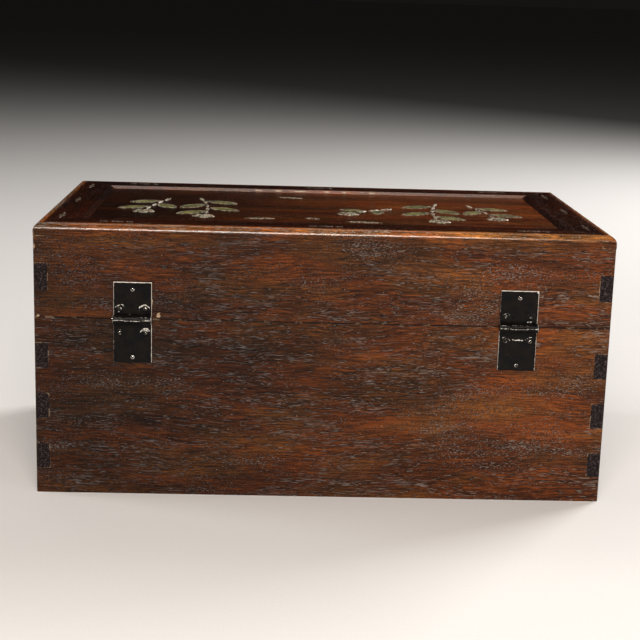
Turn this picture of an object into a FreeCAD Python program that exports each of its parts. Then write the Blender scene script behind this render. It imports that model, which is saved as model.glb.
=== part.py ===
import FreeCAD, Part
import math
import os
import re
import Sketcher

# A tea ceremony box in hardwood: a finger-jointed body with a divided well over two drawers, and a
# hinged lid whose mitred frame holds an inlaid panel.  Millimetres, +Z up.  The front with the
# drawers and the clasp looks along -Y, the hinges are on the +Y face, and the origin is the middle
# of the underside.  "Left" and "right" are those of a person who faces the front.

FINGERS_IN_BODY = 7
FINGERS_IN_LID = 3

SIZES = {
    # outside
    "box_width": 370.0,
    "box_depth": 214.0,
    "box_height": 178.0,
    "body_height": 117.5,
    "lid_seam_gap": 0.2,
    "wall": 8.8,
    "overcut": 1.0,
    "corner_round": 1.0,
    # mitred frame and panel of the lid
    "frame_thickness": 8.0,
    "frame_flat": 27.0,
    "frame_bevel_run": 3.5,
    "frame_bevel_depth": 1.8,
    "frame_top_round": 5.0,
    "panel_lip": 2.0,
    "panel_tongue": 2.6,
    "panel_tongue_depth": 6.0,
    "panel_play": 0.5,
    # inlay
    "inlay_depth": 1.0,
    "inlay_proud": 0.25,
    "inlay_gap": 0.9,
    "leaf_inlay_length": 25.0,
    "leaf_inlay_width": 12.0,
    "leaf_rim": 1.0,
    "stem_inlay_length": 15.5,
    "stem_inlay_width": 2.4,
    "petal_radius": 3.3,
    "petal_reach": 4.6,
    "slip_width": 4.0,
    "fleck_length": 9.0,
    "fleck_width": 4.0,
    # bottom, well and dividers
    "bottom_thickness": 9.0,
    "bottom_tongue": 3.0,
    "groove_depth": 4.0,
    "drawer_bay_height": 42.0,
    "well_floor_thickness": 6.0,
    "divider_thickness": 6.0,
    "divider_height": 44.0,
    "front_well_depth": 114.0,
    "left_well_width": 206.0,
    # drawers
    "front_stile": 24.0,
    "drawer_mullion": 14.0,
    "drawer_opening_height": 40.0,
    "drawer_gap": 0.6,
    "drawer_run_gap": 0.1,
    "drawer_rear_gap": 1.0,
    "drawer_guide_height": 20.0,
    "drawer_front_thickness": 9.0,
    "drawer_front_lap": 3.0,
    "drawer_side_thickness": 6.0,
    "drawer_back_thickness": 6.0,
    "drawer_back_drop": 4.0,
    "drawer_bottom_thickness": 3.5,
    "drawer_bottom_raise": 3.0,
    "drawer_groove_depth": 3.0,
    # ring pulls
    "pull_plate_radius": 11.0,
    "pull_plate_thickness": 0.9,
    "pull_shank_radius": 1.4,
    "pull_eye_out": 4.6,
    "pull_eye_radius": 2.7,
    "pull_eye_thickness": 2.2,
    "pull_leg_length": 7.0,
    "pull_leg_thickness": 1.0,
    "ring_radius": 8.2,
    "ring_wire_radius": 1.1,
    "ring_play": 0.4,
    # hinges
    "right_hinge_inset": 62.7,
    "left_hinge_inset": 60.0,
    "leaf_width": 24.3,
    "leaf_thickness": 1.0,
    "leaf_corner_round": 0.8,
    "lid_leaf_length": 24.0,
    "body_leaf_length": 28.5,
    "barrel_radius": 3.0,
    "barrel_gap": 0.2,
    "middle_knuckle": 10.3,
    "knuckle_gap": 0.15,
    "hinge_pin_radius": 1.5,
    "pin_clearance": 0.05,
    "pin_head_radius": 2.3,
    "pin_head_height": 0.7,
    "leaf_nail_spread": 8.0,
    "lid_leaf_pair": 6.8,
    "lid_leaf_single": 19.2,
    "body_leaf_pair": 9.0,
    "body_leaf_single": 25.0,
    # nails
    "nail_radius": 0.8,
    "nail_length": 7.0,
    "nail_head_radius": 1.4,
    "nail_head_height": 0.9,
    "nail_clearance": 0.05,
    "small_nail_length": 6.0,
    # clasp
    "clasp_plate_radius": 27.0,
    "clasp_plate_thickness": 1.0,
    "clasp_split": 0.6,
    "clasp_axis_out": 3.2,
    "clasp_axis_up": 12.0,
    "clasp_ear_radius": 2.4,
    "clasp_ear_thickness": 3.0,
    "clasp_pin_radius": 1.0,
    "clasp_pin_head_radius": 1.6,
    "clasp_pin_head_height": 0.6,
    "tongue_barrel_radius": 2.0,
    "tongue_width": 9.4,
    "tongue_waist": 6.6,
    "tongue_thickness": 1.2,
    "tongue_stand_off": 0.8,
    "tongue_length": 38.0,
    "lock_eye_out": 6.4,
    "lock_eye_down": 20.0,
    "lock_eye_radius": 3.0,
    "lock_hole_radius": 1.9,
    "lock_eye_thickness": 2.4,
    "lock_eye_play": 0.6,
    "tongue_eye_thickness": 3.0,
    "clasp_nail_side_across": 19.0,
    "clasp_nail_side_up": 9.0,
    "clasp_nail_end_across": 11.5,
    "clasp_nail_end_up": 21.5,
}

document = FreeCAD.newDocument("tea_box")
sheet = document.addObject("Spreadsheet::Sheet", "Sizes")
for row, (alias, size) in enumerate(SIZES.items(), start=1):
    sheet.set(f"A{row}", alias)
    sheet.set(f"B{row}", str(size))
    sheet.setAlias(f"B{row}", alias)
document.recompute()

ALONG_X = FreeCAD.Vector(1, 0, 0)
ALONG_Z = FreeCAD.Vector(0, 0, 1)
THROUGH = "2 * box_width"
nodes = []


# ---------------------------------------------------------------- sizes and expressions

def bound(expression):
    """The expression with the sheet's name before each size, as setExpression wants it."""
    return re.sub(r"[a-z_]+", lambda word: "Sizes." + word.group() if word.group() in SIZES else word.group(),
                  str(expression))


def value(expression):
    """The expression's value now, in millimetres."""
    return float(sheet.evalExpression(bound(expression)))


def bind(thing, **properties):
    """Binds each named property of the thing to an expression of the sheet's sizes."""
    for name, expression in properties.items():
        thing.setExpression(name, bound(expression))


# ---------------------------------------------------------------- bodies, sketches and features

def place(node, across="0", deep="0", high="0", turn=0.0):
    """Puts the node at a point given by three expressions, turned about the vertical by degrees."""
    node.Placement = FreeCAD.Placement(FreeCAD.Vector(), FreeCAD.Rotation(ALONG_Z, turn))
    for axis, expression in (("x", across), ("y", deep), ("z", high)):
        node.setExpression(f"Placement.Base.{axis}", bound(expression))


def new_body(name, **where):
    """An empty PartDesign body for one node, at its place in the box."""
    body = document.addObject("PartDesign::Body", name)
    body.Label = name
    place(body, **where)
    nodes.append(body)
    return body


def new_sketch(body, name, plane, offset="0"):
    """A sketch on one of the body's own origin planes, or that far along the plane's normal."""
    sketch = body.newObject("Sketcher::SketchObject", f"{body.Name}_{name}")
    support = next(item for item in body.Origin.OriginFeatures if item.Role == plane)
    sketch.AttachmentSupport = [(support, "")]
    sketch.MapMode = "FlatFace"
    sketch.setExpression("AttachmentOffset.Base.z", bound(offset))
    return sketch


def pin_point(sketch, geometry, vertex, across, up):
    """Holds a point of the sketch at two distances from the sketch's origin."""
    for kind, distance in (("DistanceX", across), ("DistanceY", up)):
        limit = Sketcher.Constraint(kind, -1, 1, geometry, vertex, value(distance))
        index = sketch.addConstraint(limit)
        sketch.setExpression(f"Constraints[{index}]", bound(distance))


def draw_polygon(sketch, points):
    """A closed outline of straight lines through points that are pairs of expressions."""
    first = sketch.GeometryCount
    corners = [FreeCAD.Vector(value(across), value(up), 0) for across, up in points]
    count = len(corners)
    for index in range(count):
        sketch.addGeometry(Part.LineSegment(corners[index], corners[(index + 1) % count]), False)
    for index in range(count):
        following = first + (index + 1) % count
        sketch.addConstraint(Sketcher.Constraint("Coincident", first + index, 2, following, 1))
    for index, (across, up) in enumerate(points):
        pin_point(sketch, first + index, 1, across, up)


def draw_rectangle(sketch, left, right, low, high):
    """A rectangle between two distances across and two distances up."""
    draw_polygon(sketch, [(left, low), (right, low), (right, high), (left, high)])


def draw_circle(sketch, across, up, radius):
    """A circle about a point that is a pair of expressions."""
    centre = FreeCAD.Vector(value(across), value(up), 0)
    circle = sketch.addGeometry(Part.Circle(centre, ALONG_Z, value(radius)), False)
    index = sketch.addConstraint(Sketcher.Constraint("Radius", circle, value(radius)))
    sketch.setExpression(f"Constraints[{index}]", bound(radius))
    pin_point(sketch, circle, 3, across, up)


def add_feature(body, kind, sketch, length, sides, backwards):
    """A pad or pocket of the sketch, with a check that it changed the body the right way."""
    before = body.Shape.Volume if body.Tip else 0.0
    feature = body.newObject(f"PartDesign::{kind}", f"{sketch.Name}_{kind.lower()}")
    feature.Profile = sketch
    feature.SideType = sides
    feature.Reversed = backwards
    bind(feature, Length=length)
    body.Tip = feature
    document.recompute()
    change = body.Shape.Volume - before
    if (kind == "Pad") != (change > 0) or abs(change) < 1e-6:
        raise RuntimeError(f"{feature.Name} changed the volume by {change:.4f}")
    return feature


def pad(body, sketch, length, sides="One side", backwards=False):
    return add_feature(body, "Pad", sketch, length, sides, backwards)


def pocket(body, sketch, length, sides="One side", backwards=False):
    return add_feature(body, "Pocket", sketch, length, sides, backwards)


def round_edges(body, name, radius, chosen):
    """A fillet on each edge of the body's present shape that the test chooses."""
    base = body.Tip
    edges = [f"Edge{number}" for number, edge in enumerate(base.Shape.Edges, start=1) if chosen(edge)]
    if not edges:
        raise RuntimeError(f"{body.Name}: no edge for {name}")
    fillet = body.newObject("PartDesign::Fillet", f"{body.Name}_{name}")
    fillet.Base = (base, edges)
    bind(fillet, Radius=radius)
    body.Tip = fillet
    document.recompute()


def runs_along(edge, axis):
    """True for a straight edge along the x, y or z axis."""
    if not isinstance(edge.Curve, Part.Line):
        return False
    return abs(abs(getattr(edge.Curve.Direction, axis)) - 1) < 1e-6


def lies_at(edge, **coordinates):
    """True where the middle of the edge has these coordinates."""
    middle = edge.CenterOfMass
    return all(abs(getattr(middle, axis) - distance) < 1e-4 for axis, distance in coordinates.items())


# ---------------------------------------------------------------- finger-jointed boards

# A board's own frame: x along it from its middle, y = 0 on its outer face with the inside at
# -wall, z up from its lower edge.  WAYS turns that frame to each side of the box.
WAYS = {
    "back": {"length": "box_width", "turn": 0.0, "across": "0", "deep": "box_depth / 2"},
    "front": {"length": "box_width", "turn": 180.0, "across": "0", "deep": "-box_depth / 2"},
    "left": {"length": "box_depth", "turn": 90.0, "across": "-box_width / 2", "deep": "0"},
    "right": {"length": "box_depth", "turn": -90.0, "across": "box_width / 2", "deep": "0"},
}


def jointed_board(name, way, low, height, fingers):
    """A wall board with fingers at both ends: long walls keep the first and the last finger."""
    side = WAYS[way]
    half = f"{side['length']} / 2"
    board = new_body(name, across=side["across"], deep=side["deep"], high=low, turn=side["turn"])

    face = new_sketch(board, "face", "XZ_Plane")
    draw_rectangle(face, f"-{half}", half, "0", height)
    pad(board, face, "wall")
    reach = value(half)
    round_edges(board, "corner", "corner_round",
                lambda edge: runs_along(edge, "z") and lies_at(edge, y=0)
                and abs(abs(edge.CenterOfMass.x) - reach) < 1e-4)

    first_socket = 1 if side["length"] == "box_width" else 0
    sockets = new_sketch(board, "sockets", "XZ_Plane")
    for finger in range(first_socket, fingers, 2):
        low_edge = f"({height}) * {finger} / {fingers}" if finger else "-overcut"
        high_edge = f"({height}) * {finger + 1} / {fingers}"
        if finger + 1 == fingers:
            high_edge += " + overcut"
        draw_rectangle(sockets, f"{half} - wall", f"{half} + overcut", low_edge, high_edge)
        draw_rectangle(sockets, f"-{half} - overcut", f"-{half} + wall", low_edge, high_edge)
    pocket(board, sockets, THROUGH, sides="Symmetric")
    return board, half


def cut_groove(board, half, name, low, high):
    """A stopped groove along the inside of a board, for a panel's edge."""
    groove = new_sketch(board, name, "XZ_Plane", offset="wall")
    end = f"{half} - wall + groove_depth"
    draw_rectangle(groove, f"-({end})", end, low, high)
    pocket(board, groove, "groove_depth")


def cut_nail_holes(board, name, points):
    """Blind holes from the outer face of a board, as deep as the nails that they take."""
    holes = new_sketch(board, name, "XZ_Plane")
    for across, up in points:
        draw_circle(holes, across, up, "nail_radius + nail_clearance")
    pocket(board, holes, "nail_length", backwards=True)


# ---------------------------------------------------------------- where the hinges and nails are

HINGE_HEIGHT = "body_height + lid_seam_gap / 2"
LID_LOW = "body_height + lid_seam_gap"
LID_WALL_HEIGHT = "(box_height - frame_thickness - body_height - lid_seam_gap)"
HINGE_AXIS_OUT = "(barrel_radius + barrel_gap)"
HINGES = {
    "left": "(left_hinge_inset - box_width / 2)",
    "right": "(box_width / 2 - right_hinge_inset)",
}


def leaf_nails(across, pair, single):
    """The three nails of a hinge leaf: a pair by the knuckle and a single one near the end."""
    return [
        (f"{across} - leaf_nail_spread", pair),
        (f"{across} + leaf_nail_spread", pair),
        (across, single),
    ]


def hinge_nail_points(pair, single, base="0"):
    """The nails of both hinges' leaves on one side of the seam, up from the base."""
    return [
        (across, f"{HINGE_HEIGHT} - ({base}) + ({up})")
        for middle in HINGES.values()
        for across, up in leaf_nails(middle, pair, single)
    ]


def clasp_nail_points(sign, base="0"):
    """The four nails of half of the clasp's plate; sign is 1 above the seam and -1 below."""
    corners = [
        ("clasp_nail_side_across", "clasp_nail_side_up"),
        ("clasp_nail_end_across", "clasp_nail_end_up"),
    ]
    return [
        (f"{side} * {across}", f"{HINGE_HEIGHT} - ({base}) + {sign} * {up}")
        for across, up in corners
        for side in (-1, 1)
    ]


# ---------------------------------------------------------------- body of the box

WELL_FLOOR_LOW = "(bottom_thickness + drawer_bay_height)"
INNER_HALF_WIDTH = "(box_width / 2 - wall)"
INNER_HALF_DEPTH = "(box_depth / 2 - wall)"
OPENING_WIDTH = "((box_width - 2 * front_stile - drawer_mullion) / 2)"
OPENING_MIDDLE = f"(drawer_mullion / 2 + {OPENING_WIDTH} / 2)"
TONGUE_LOW = "(bottom_thickness - bottom_tongue) / 2"

for way, name in (("back", "body_back_board"), ("front", "body_front_board"),
                  ("left", "body_left_side"), ("right", "body_right_side")):
    board, half = jointed_board(name, way, "0", "body_height", FINGERS_IN_BODY)
    cut_groove(board, half, "bottom_groove", TONGUE_LOW, f"{TONGUE_LOW} + bottom_tongue")
    cut_groove(board, half, "floor_groove", WELL_FLOOR_LOW, f"{WELL_FLOOR_LOW} + well_floor_thickness")
    if way == "back":
        cut_nail_holes(board, "hinge_holes", hinge_nail_points("-body_leaf_pair", "-body_leaf_single"))
    if way == "front":
        cut_nail_holes(board, "clasp_holes", clasp_nail_points(-1))
        openings = new_sketch(board, "drawer_openings", "XZ_Plane")
        for side in (-1, 1):
            draw_rectangle(openings, f"{side} * {OPENING_MIDDLE} - {OPENING_WIDTH} / 2",
                           f"{side} * {OPENING_MIDDLE} + {OPENING_WIDTH} / 2",
                           "bottom_thickness", "bottom_thickness + drawer_opening_height")
        pocket(board, openings, THROUGH, sides="Symmetric")


def level_board(name, low, thickness, half_width, half_depth):
    """A board that lies level, centred on the box."""
    board = new_body(name, high=low)
    outline = new_sketch(board, "outline", "XY_Plane")
    draw_rectangle(outline, f"-{half_width}", half_width, f"-{half_depth}", half_depth)
    pad(board, outline, thickness)
    return board


bottom = level_board("bottom_board", "0", "bottom_thickness", INNER_HALF_WIDTH, INNER_HALF_DEPTH)
tongue = new_sketch(bottom, "tongue", "XY_Plane", offset=TONGUE_LOW)
draw_rectangle(tongue, f"-({INNER_HALF_WIDTH} + groove_depth)", f"{INNER_HALF_WIDTH} + groove_depth",
               f"-({INNER_HALF_DEPTH} + groove_depth)", f"{INNER_HALF_DEPTH} + groove_depth")
pad(bottom, tongue, "bottom_tongue")

level_board("well_floor", WELL_FLOOR_LOW, "well_floor_thickness",
            f"({INNER_HALF_WIDTH} + groove_depth)", f"({INNER_HALF_DEPTH} + groove_depth)")


def upright_strip(name, left, right, height):
    """An upright piece of the drawer bay that stands on the bottom board, front to back."""
    strip = new_body(name, high="bottom_thickness")
    outline = new_sketch(strip, "outline", "XY_Plane")
    draw_rectangle(outline, left, right, f"-{INNER_HALF_DEPTH}", INNER_HALF_DEPTH)
    pad(strip, outline, height)


upright_strip("drawer_partition", "-drawer_mullion / 2", "drawer_mullion / 2", "drawer_bay_height")
upright_strip("drawer_guide_left", f"-{INNER_HALF_WIDTH}", "front_stile - box_width / 2",
              "drawer_guide_height")
upright_strip("drawer_guide_right", "box_width / 2 - front_stile", INNER_HALF_WIDTH,
              "drawer_guide_height")

# The two dividers of the well stand on its floor and are halved over each other.
LONG_DIVIDER_FRONT = f"(front_well_depth - {INNER_HALF_DEPTH})"
CROSS_DIVIDER_LEFT = f"(left_well_width - {INNER_HALF_WIDTH})"
WELL_LOW = f"{WELL_FLOOR_LOW} + well_floor_thickness"

long_divider = new_body("well_divider_long", deep=LONG_DIVIDER_FRONT, high=WELL_LOW)
face = new_sketch(long_divider, "face", "XZ_Plane")
draw_rectangle(face, f"-{INNER_HALF_WIDTH}", INNER_HALF_WIDTH, "0", "divider_height")
pad(long_divider, face, "divider_thickness", backwards=True)
slot = new_sketch(long_divider, "halving", "XZ_Plane")
draw_rectangle(slot, CROSS_DIVIDER_LEFT, f"{CROSS_DIVIDER_LEFT} + divider_thickness",
               "divider_height / 2", "divider_height + overcut")
pocket(long_divider, slot, THROUGH, sides="Symmetric")

cross_divider = new_body("well_divider_cross", across=CROSS_DIVIDER_LEFT, high=WELL_LOW)
face = new_sketch(cross_divider, "face", "YZ_Plane")
draw_rectangle(face, f"-{INNER_HALF_DEPTH}", INNER_HALF_DEPTH, "0", "divider_height")
pad(cross_divider, face, "divider_thickness")
slot = new_sketch(cross_divider, "halving", "YZ_Plane")
draw_rectangle(slot, LONG_DIVIDER_FRONT, f"{LONG_DIVIDER_FRONT} + divider_thickness",
               "-overcut", "divider_height / 2")
pocket(cross_divider, slot, THROUGH, sides="Symmetric")


# ---------------------------------------------------------------- lid

for way in WAYS:
    wall_board, half = jointed_board(f"lid_{way}_wall", way, LID_LOW, LID_WALL_HEIGHT, FINGERS_IN_LID)
    if way == "back":
        cut_nail_holes(wall_board, "hinge_holes",
                       hinge_nail_points("lid_leaf_pair", "lid_leaf_single", LID_LOW))
    if way == "front":
        cut_nail_holes(wall_board, "clasp_holes", clasp_nail_points(1, LID_LOW))

FRAME_WIDTH = "(frame_flat + frame_bevel_run)"
PANEL_TOP = "(frame_thickness - frame_bevel_depth)"
GROOVE_HIGH = f"({PANEL_TOP} - panel_lip)"
GROOVE_LOW = f"({GROOVE_HIGH} - panel_tongue)"
FLECK_PLACES = (-0.78, 0.0, 0.78)
FLECKS_IN_THREE = ((-0.9, 0.55), (0.0, 1.0), (0.9, 0.55))


def frame_member(name, way):
    """A mitred member of the top frame: rounded outside, bevelled and grooved inside."""
    side = WAYS[way]
    half = f"{side['length']} / 2"
    member = new_body(name, across=side["across"], deep=side["deep"],
                      high="box_height - frame_thickness", turn=side["turn"])
    section = new_sketch(member, "section", "YZ_Plane")
    draw_polygon(section, [
        ("0", "0"),
        ("0", "frame_thickness"),
        ("-frame_flat", "frame_thickness"),
        (f"-{FRAME_WIDTH}", PANEL_TOP),
        (f"-{FRAME_WIDTH}", GROOVE_HIGH),
        (f"-{FRAME_WIDTH} + panel_tongue_depth", GROOVE_HIGH),
        (f"-{FRAME_WIDTH} + panel_tongue_depth", GROOVE_LOW),
        (f"-{FRAME_WIDTH}", GROOVE_LOW),
        (f"-{FRAME_WIDTH}", "0"),
    ])
    pad(member, section, side["length"], sides="Symmetric")
    top = value("frame_thickness")
    round_edges(member, "top_round", "frame_top_round",
                lambda edge: runs_along(edge, "x") and lies_at(edge, y=0, z=top))
    mitres = new_sketch(member, "mitres", "XY_Plane")
    for sign in ("", "-"):
        draw_polygon(mitres, [
            (f"{sign}({half})", "0"),
            (f"{sign}({half} - {FRAME_WIDTH} - overcut)", f"-{FRAME_WIDTH} - overcut"),
            (f"{sign}({half} + overcut)", f"-{FRAME_WIDTH} - overcut"),
            (f"{sign}({half} + overcut)", "0"),
        ])
    pocket(member, mitres, THROUGH, sides="Symmetric")
    flecks = new_sketch(member, "flecks", "XY_Plane", offset="frame_thickness")
    for corners in fleck_corners(half):
        draw_polygon(flecks, corners)
    pocket(member, flecks, "inlay_depth")
    return member, half


def fleck_corners(half):
    """Diamonds of pearl in threes along the flat of a frame member, in the member's own frame."""
    diamonds = []
    for share in FLECK_PLACES:
        for step, size in FLECKS_IN_THREE:
            middle = f"{share} * ({half} - frame_flat / 2) + {step} * fleck_length"
            long_way = f"{size} * fleck_length / 2"
            short_way = f"{size} * fleck_width / 2"
            diamonds.append([
                (f"{middle} - {long_way}", "-frame_flat / 2"),
                (middle, f"-frame_flat / 2 - {short_way}"),
                (f"{middle} + {long_way}", "-frame_flat / 2"),
                (middle, f"-frame_flat / 2 + {short_way}"),
            ])
    return diamonds


flecks = []
for way, name in (("back", "top_rail_back"), ("front", "top_rail_front"),
                  ("left", "top_stile_left"), ("right", "top_stile_right")):
    member, half = frame_member(name, way)
    for corners in fleck_corners(half):
        points = [FreeCAD.Vector(value(across), value(deep), 0) for across, deep in corners]
        flecks.append((member.Placement, points))


# ---------------------------------------------------------------- inlaid panel

# Soapstone leaves with rims of mother-of-pearl, pearl stems and pearl flowers are let into the
# panel and stand a little proud of it.  Each sprig is a row of stems with a leaf on one side and
# then the other, and a flower at its tip.
PANEL_HALF_WIDTH = f"(box_width / 2 - {FRAME_WIDTH})"
PANEL_HALF_DEPTH = f"(box_depth / 2 - {FRAME_WIDTH})"
PANEL_SURFACE = f"(box_height - frame_thickness + {PANEL_TOP})"

# A sprig's root is given in shares of the half panel, and its heading and its turn at each joint
# in degrees.  Its leaves begin on the hand given, 1 for the left of its heading.
SPRIGS = {
    "right": [
        {"across_share": 0.57, "deep_share": -0.47, "heading_turn": 104, "turn": -4, "stem_count": 5,
         "share": 1.00, "hand_sign": 1},
        {"across_share": 0.70, "deep_share": -0.40, "heading_turn": 72, "turn": 3, "stem_count": 4,
         "share": 0.92, "hand_sign": -1},
    ],
    "left": [
        {"across_share": -0.55, "deep_share": -0.47, "heading_turn": 76, "turn": 4, "stem_count": 5,
         "share": 1.00, "hand_sign": -1},
        {"across_share": -0.68, "deep_share": -0.40, "heading_turn": 108, "turn": -3, "stem_count": 4,
         "share": 0.92, "hand_sign": 1},
        {"across_share": -0.325, "deep_share": -0.02, "heading_turn": 30, "turn": 6, "stem_count": 3,
         "share": 0.72, "hand_sign": 1},
    ],
}
LEAF_TURN = 50
STEM_SHARE = 0.86
# Loose pearl slips between the sprays, each a share of a leaf's length.
LOOSE_SLIPS = [
    {"across_share": 0.28, "deep_share": 0.72, "turn": 6, "share": 0.80},
    {"across_share": 0.05, "deep_share": 0.66, "turn": -12, "share": 0.40},
    {"across_share": -0.17, "deep_share": 0.80, "turn": -6, "share": 1.00},
    {"across_share": 0.14, "deep_share": -0.62, "turn": 170, "share": 0.70},
]


def lens_wire(middle, degrees, length, width):
    """Two arcs between two tips: the outline of a leaf or a stem."""
    turn = FreeCAD.Rotation(ALONG_Z, degrees)
    tips = [middle + turn.multVec(FreeCAD.Vector(end * length / 2, 0, 0)) for end in (-1, 1)]
    flanks = [middle + turn.multVec(FreeCAD.Vector(0, side * width / 2, 0)) for side in (-1, 1)]
    arcs = [Part.Arc(tips[0], flanks[0], tips[1]), Part.Arc(tips[1], flanks[1], tips[0])]
    return Part.Wire([arc.toShape() for arc in arcs])


def flower_face(middle):
    """Five round petals about a middle, as one face."""
    petals = []
    for petal in range(5):
        turn = FreeCAD.Rotation(ALONG_Z, 90 + petal * 72)
        centre = middle + turn.multVec(FreeCAD.Vector(value("petal_reach"), 0, 0))
        petals.append(Part.Face(Part.Wire(Part.Circle(centre, ALONG_Z, value("petal_radius")).toShape())))
    heart = Part.Face(Part.Wire(Part.Circle(middle, ALONG_Z, value("petal_radius")).toShape()))
    return heart.fuse(petals).removeSplitter()


def from_heading(degrees, distance):
    """A step on the panel's surface in a direction given in degrees."""
    return FreeCAD.Rotation(ALONG_Z, degrees).multVec(FreeCAD.Vector(distance, 0, 0))


def on_panel(piece):
    """The point of the panel at a piece's shares across and deep."""
    across = piece["across_share"] * value(PANEL_HALF_WIDTH)
    deep = piece["deep_share"] * value(PANEL_HALF_DEPTH)
    return FreeCAD.Vector(across, deep, 0)


def leaf_faces(middle, degrees, share):
    """A leaf of soapstone and the pearl rim round it."""
    length = share * value("leaf_inlay_length")
    width = share * value("leaf_inlay_width")
    rim = value("leaf_rim")
    outline = Part.Face(lens_wire(middle, degrees, length, width))
    leaf = Part.Face(lens_wire(middle, degrees, length - 2 * rim * length / width, width - 2 * rim))
    return leaf, outline.cut(leaf)


def sprig_faces(sprig, faces):
    """Adds the outlines of one sprig to the lists of leaves, rims and flowers."""
    share = sprig["share"]
    heading = sprig["heading_turn"]
    hand = sprig["hand_sign"]
    step = share * value("stem_inlay_length")
    stem_width = value("stem_inlay_width")
    gap = value("inlay_gap")
    joint = on_panel(sprig)
    for stem in range(sprig["stem_count"]):
        middle = joint + from_heading(heading, step / 2)
        faces["flowers"].append(Part.Face(lens_wire(middle, heading, STEM_SHARE * step, stem_width)))
        joint = joint + from_heading(heading, step)
        if stem < sprig["stem_count"] - 1:
            leaf_heading = heading + hand * LEAF_TURN
            reach = share * value("leaf_inlay_length") / 2 + stem_width / 2 + gap
            leaf, rim = leaf_faces(joint + from_heading(leaf_heading, reach), leaf_heading, share)
            faces["leaves"].append(leaf)
            faces["rims"].append(rim)
        hand = -hand
        heading += sprig["turn"]
    flower_reach = value("petal_reach") + value("petal_radius") + gap
    faces["flowers"].append(flower_face(joint + from_heading(heading, flower_reach)))


def thicken(faces, low, high):
    """Each face made a slab from low to high, all in one compound."""
    slabs = []
    for face in faces:
        lowered = face.copy()
        lowered.translate(FreeCAD.Vector(0, 0, low))
        slabs.extend(lowered.extrude(FreeCAD.Vector(0, 0, high - low)).Solids)
    return Part.makeCompound(slabs)


def shape_node(name, shape, high):
    """A node whose shape is made outright, lifted to its height."""
    node = document.addObject("Part::Feature", name)
    node.Label = name
    node.Shape = shape
    place(node, high=high)
    nodes.append(node)
    return node


INLAY_LOW = -value("inlay_depth")
INLAY_HIGH = value("inlay_proud")
let_in = []
for side, sprigs in SPRIGS.items():
    faces = {"leaves": [], "rims": [], "flowers": []}
    for sprig in sprigs:
        sprig_faces(sprig, faces)
    let_in += [face for kind in faces.values() for face in kind]
    shape_node(f"inlay_{side}_leaves", thicken(faces["leaves"], INLAY_LOW, INLAY_HIGH), PANEL_SURFACE)
    shape_node(f"inlay_{side}_rims", thicken(faces["rims"], INLAY_LOW, INLAY_HIGH), PANEL_SURFACE)
    shape_node(f"inlay_{side}_flowers", thicken(faces["flowers"], INLAY_LOW, INLAY_HIGH), PANEL_SURFACE)

slips = []
for slip in LOOSE_SLIPS:
    length = slip["share"] * value("leaf_inlay_length")
    slips.append(Part.Face(lens_wire(on_panel(slip), slip["turn"], length, value("slip_width"))))
let_in += slips
shape_node("inlay_slips", thicken(slips, INLAY_LOW, INLAY_HIGH), PANEL_SURFACE)

fleck_faces = []
for member_place, points in flecks:
    fleck = Part.Face(Part.makePolygon(points + points[:1]))
    fleck.transformShape(FreeCAD.Placement(member_place.Base * 1, member_place.Rotation).toMatrix())
    fleck.translate(FreeCAD.Vector(0, 0, -member_place.Base.z))
    fleck_faces.append(fleck)
shape_node("frame_flecks", thicken(fleck_faces, INLAY_LOW, INLAY_HIGH), "box_height")

panel_blank = document.addObject("PartDesign::Body", "panel_blank")
place(panel_blank, high=f"box_height - frame_thickness + {GROOVE_LOW}")
field = new_sketch(panel_blank, "field", "XY_Plane")
draw_rectangle(field, f"-{PANEL_HALF_WIDTH}", PANEL_HALF_WIDTH, f"-{PANEL_HALF_DEPTH}", PANEL_HALF_DEPTH)
pad(panel_blank, field, "panel_lip + panel_tongue")
edge_width = "(panel_tongue_depth - panel_play)"
tongue = new_sketch(panel_blank, "tongue", "XY_Plane")
draw_rectangle(tongue, f"-({PANEL_HALF_WIDTH} + {edge_width})", f"{PANEL_HALF_WIDTH} + {edge_width}",
               f"-({PANEL_HALF_DEPTH} + {edge_width})", f"{PANEL_HALF_DEPTH} + {edge_width}")
pad(panel_blank, tongue, "panel_tongue")

recesses = document.addObject("Part::Feature", "inlay_recesses")
recesses.Shape = thicken(let_in, INLAY_LOW, value("overcut"))
place(recesses, high=PANEL_SURFACE)

top_panel = document.addObject("Part::Cut", "top_panel")
top_panel.Label = "top_panel"
top_panel.Base = panel_blank
top_panel.Tool = recesses
nodes.append(top_panel)


# ---------------------------------------------------------------- nails and pins

def nail_group(name, plate, length, points, **where):
    """Domed nails through a plate into the board behind it, as separate solids in one node."""
    nails = new_body(name, **where)
    nails.AllowCompound = True
    for part_name, radius, reach, outwards in (("shanks", "nail_radius", length, False),
                                               ("heads", "nail_head_radius", "nail_head_height", True)):
        circles = new_sketch(nails, part_name, "XZ_Plane", offset=f"-({plate})")
        for across, up in points:
            draw_circle(circles, across, up, radius)
        pad(nails, circles, reach, backwards=outwards)
    crown = value(f"{plate} + nail_head_height")
    round_edges(nails, "domes", "0.9 * nail_head_height", lambda edge: lies_at(edge, y=crown))


def riveted_pin(name, span, radius, head_radius, head_height, **where):
    """A pin along x with a head at each end, turned from one profile."""
    rivet = new_body(name, **where)
    profile = new_sketch(rivet, "profile", "XY_Plane")
    half = f"({span}) / 2"
    draw_polygon(profile, [
        (f"-{half} - {head_height}", "0"),
        (f"-{half} - {head_height}", f"0.6 * {head_radius}"),
        (f"-{half} - 0.4 * {head_height}", head_radius),
        (f"-{half}", head_radius),
        (f"-{half}", radius),
        (half, radius),
        (half, head_radius),
        (f"{half} + 0.4 * {head_height}", head_radius),
        (f"{half} + {head_height}", f"0.6 * {head_radius}"),
        (f"{half} + {head_height}", "0"),
    ])
    turned = rivet.newObject("PartDesign::Revolution", f"{name}_turned")
    turned.Profile = profile
    turned.ReferenceAxis = (profile, ["H_Axis"])
    turned.Angle = 360.0
    rivet.Tip = turned
    document.recompute()


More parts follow.
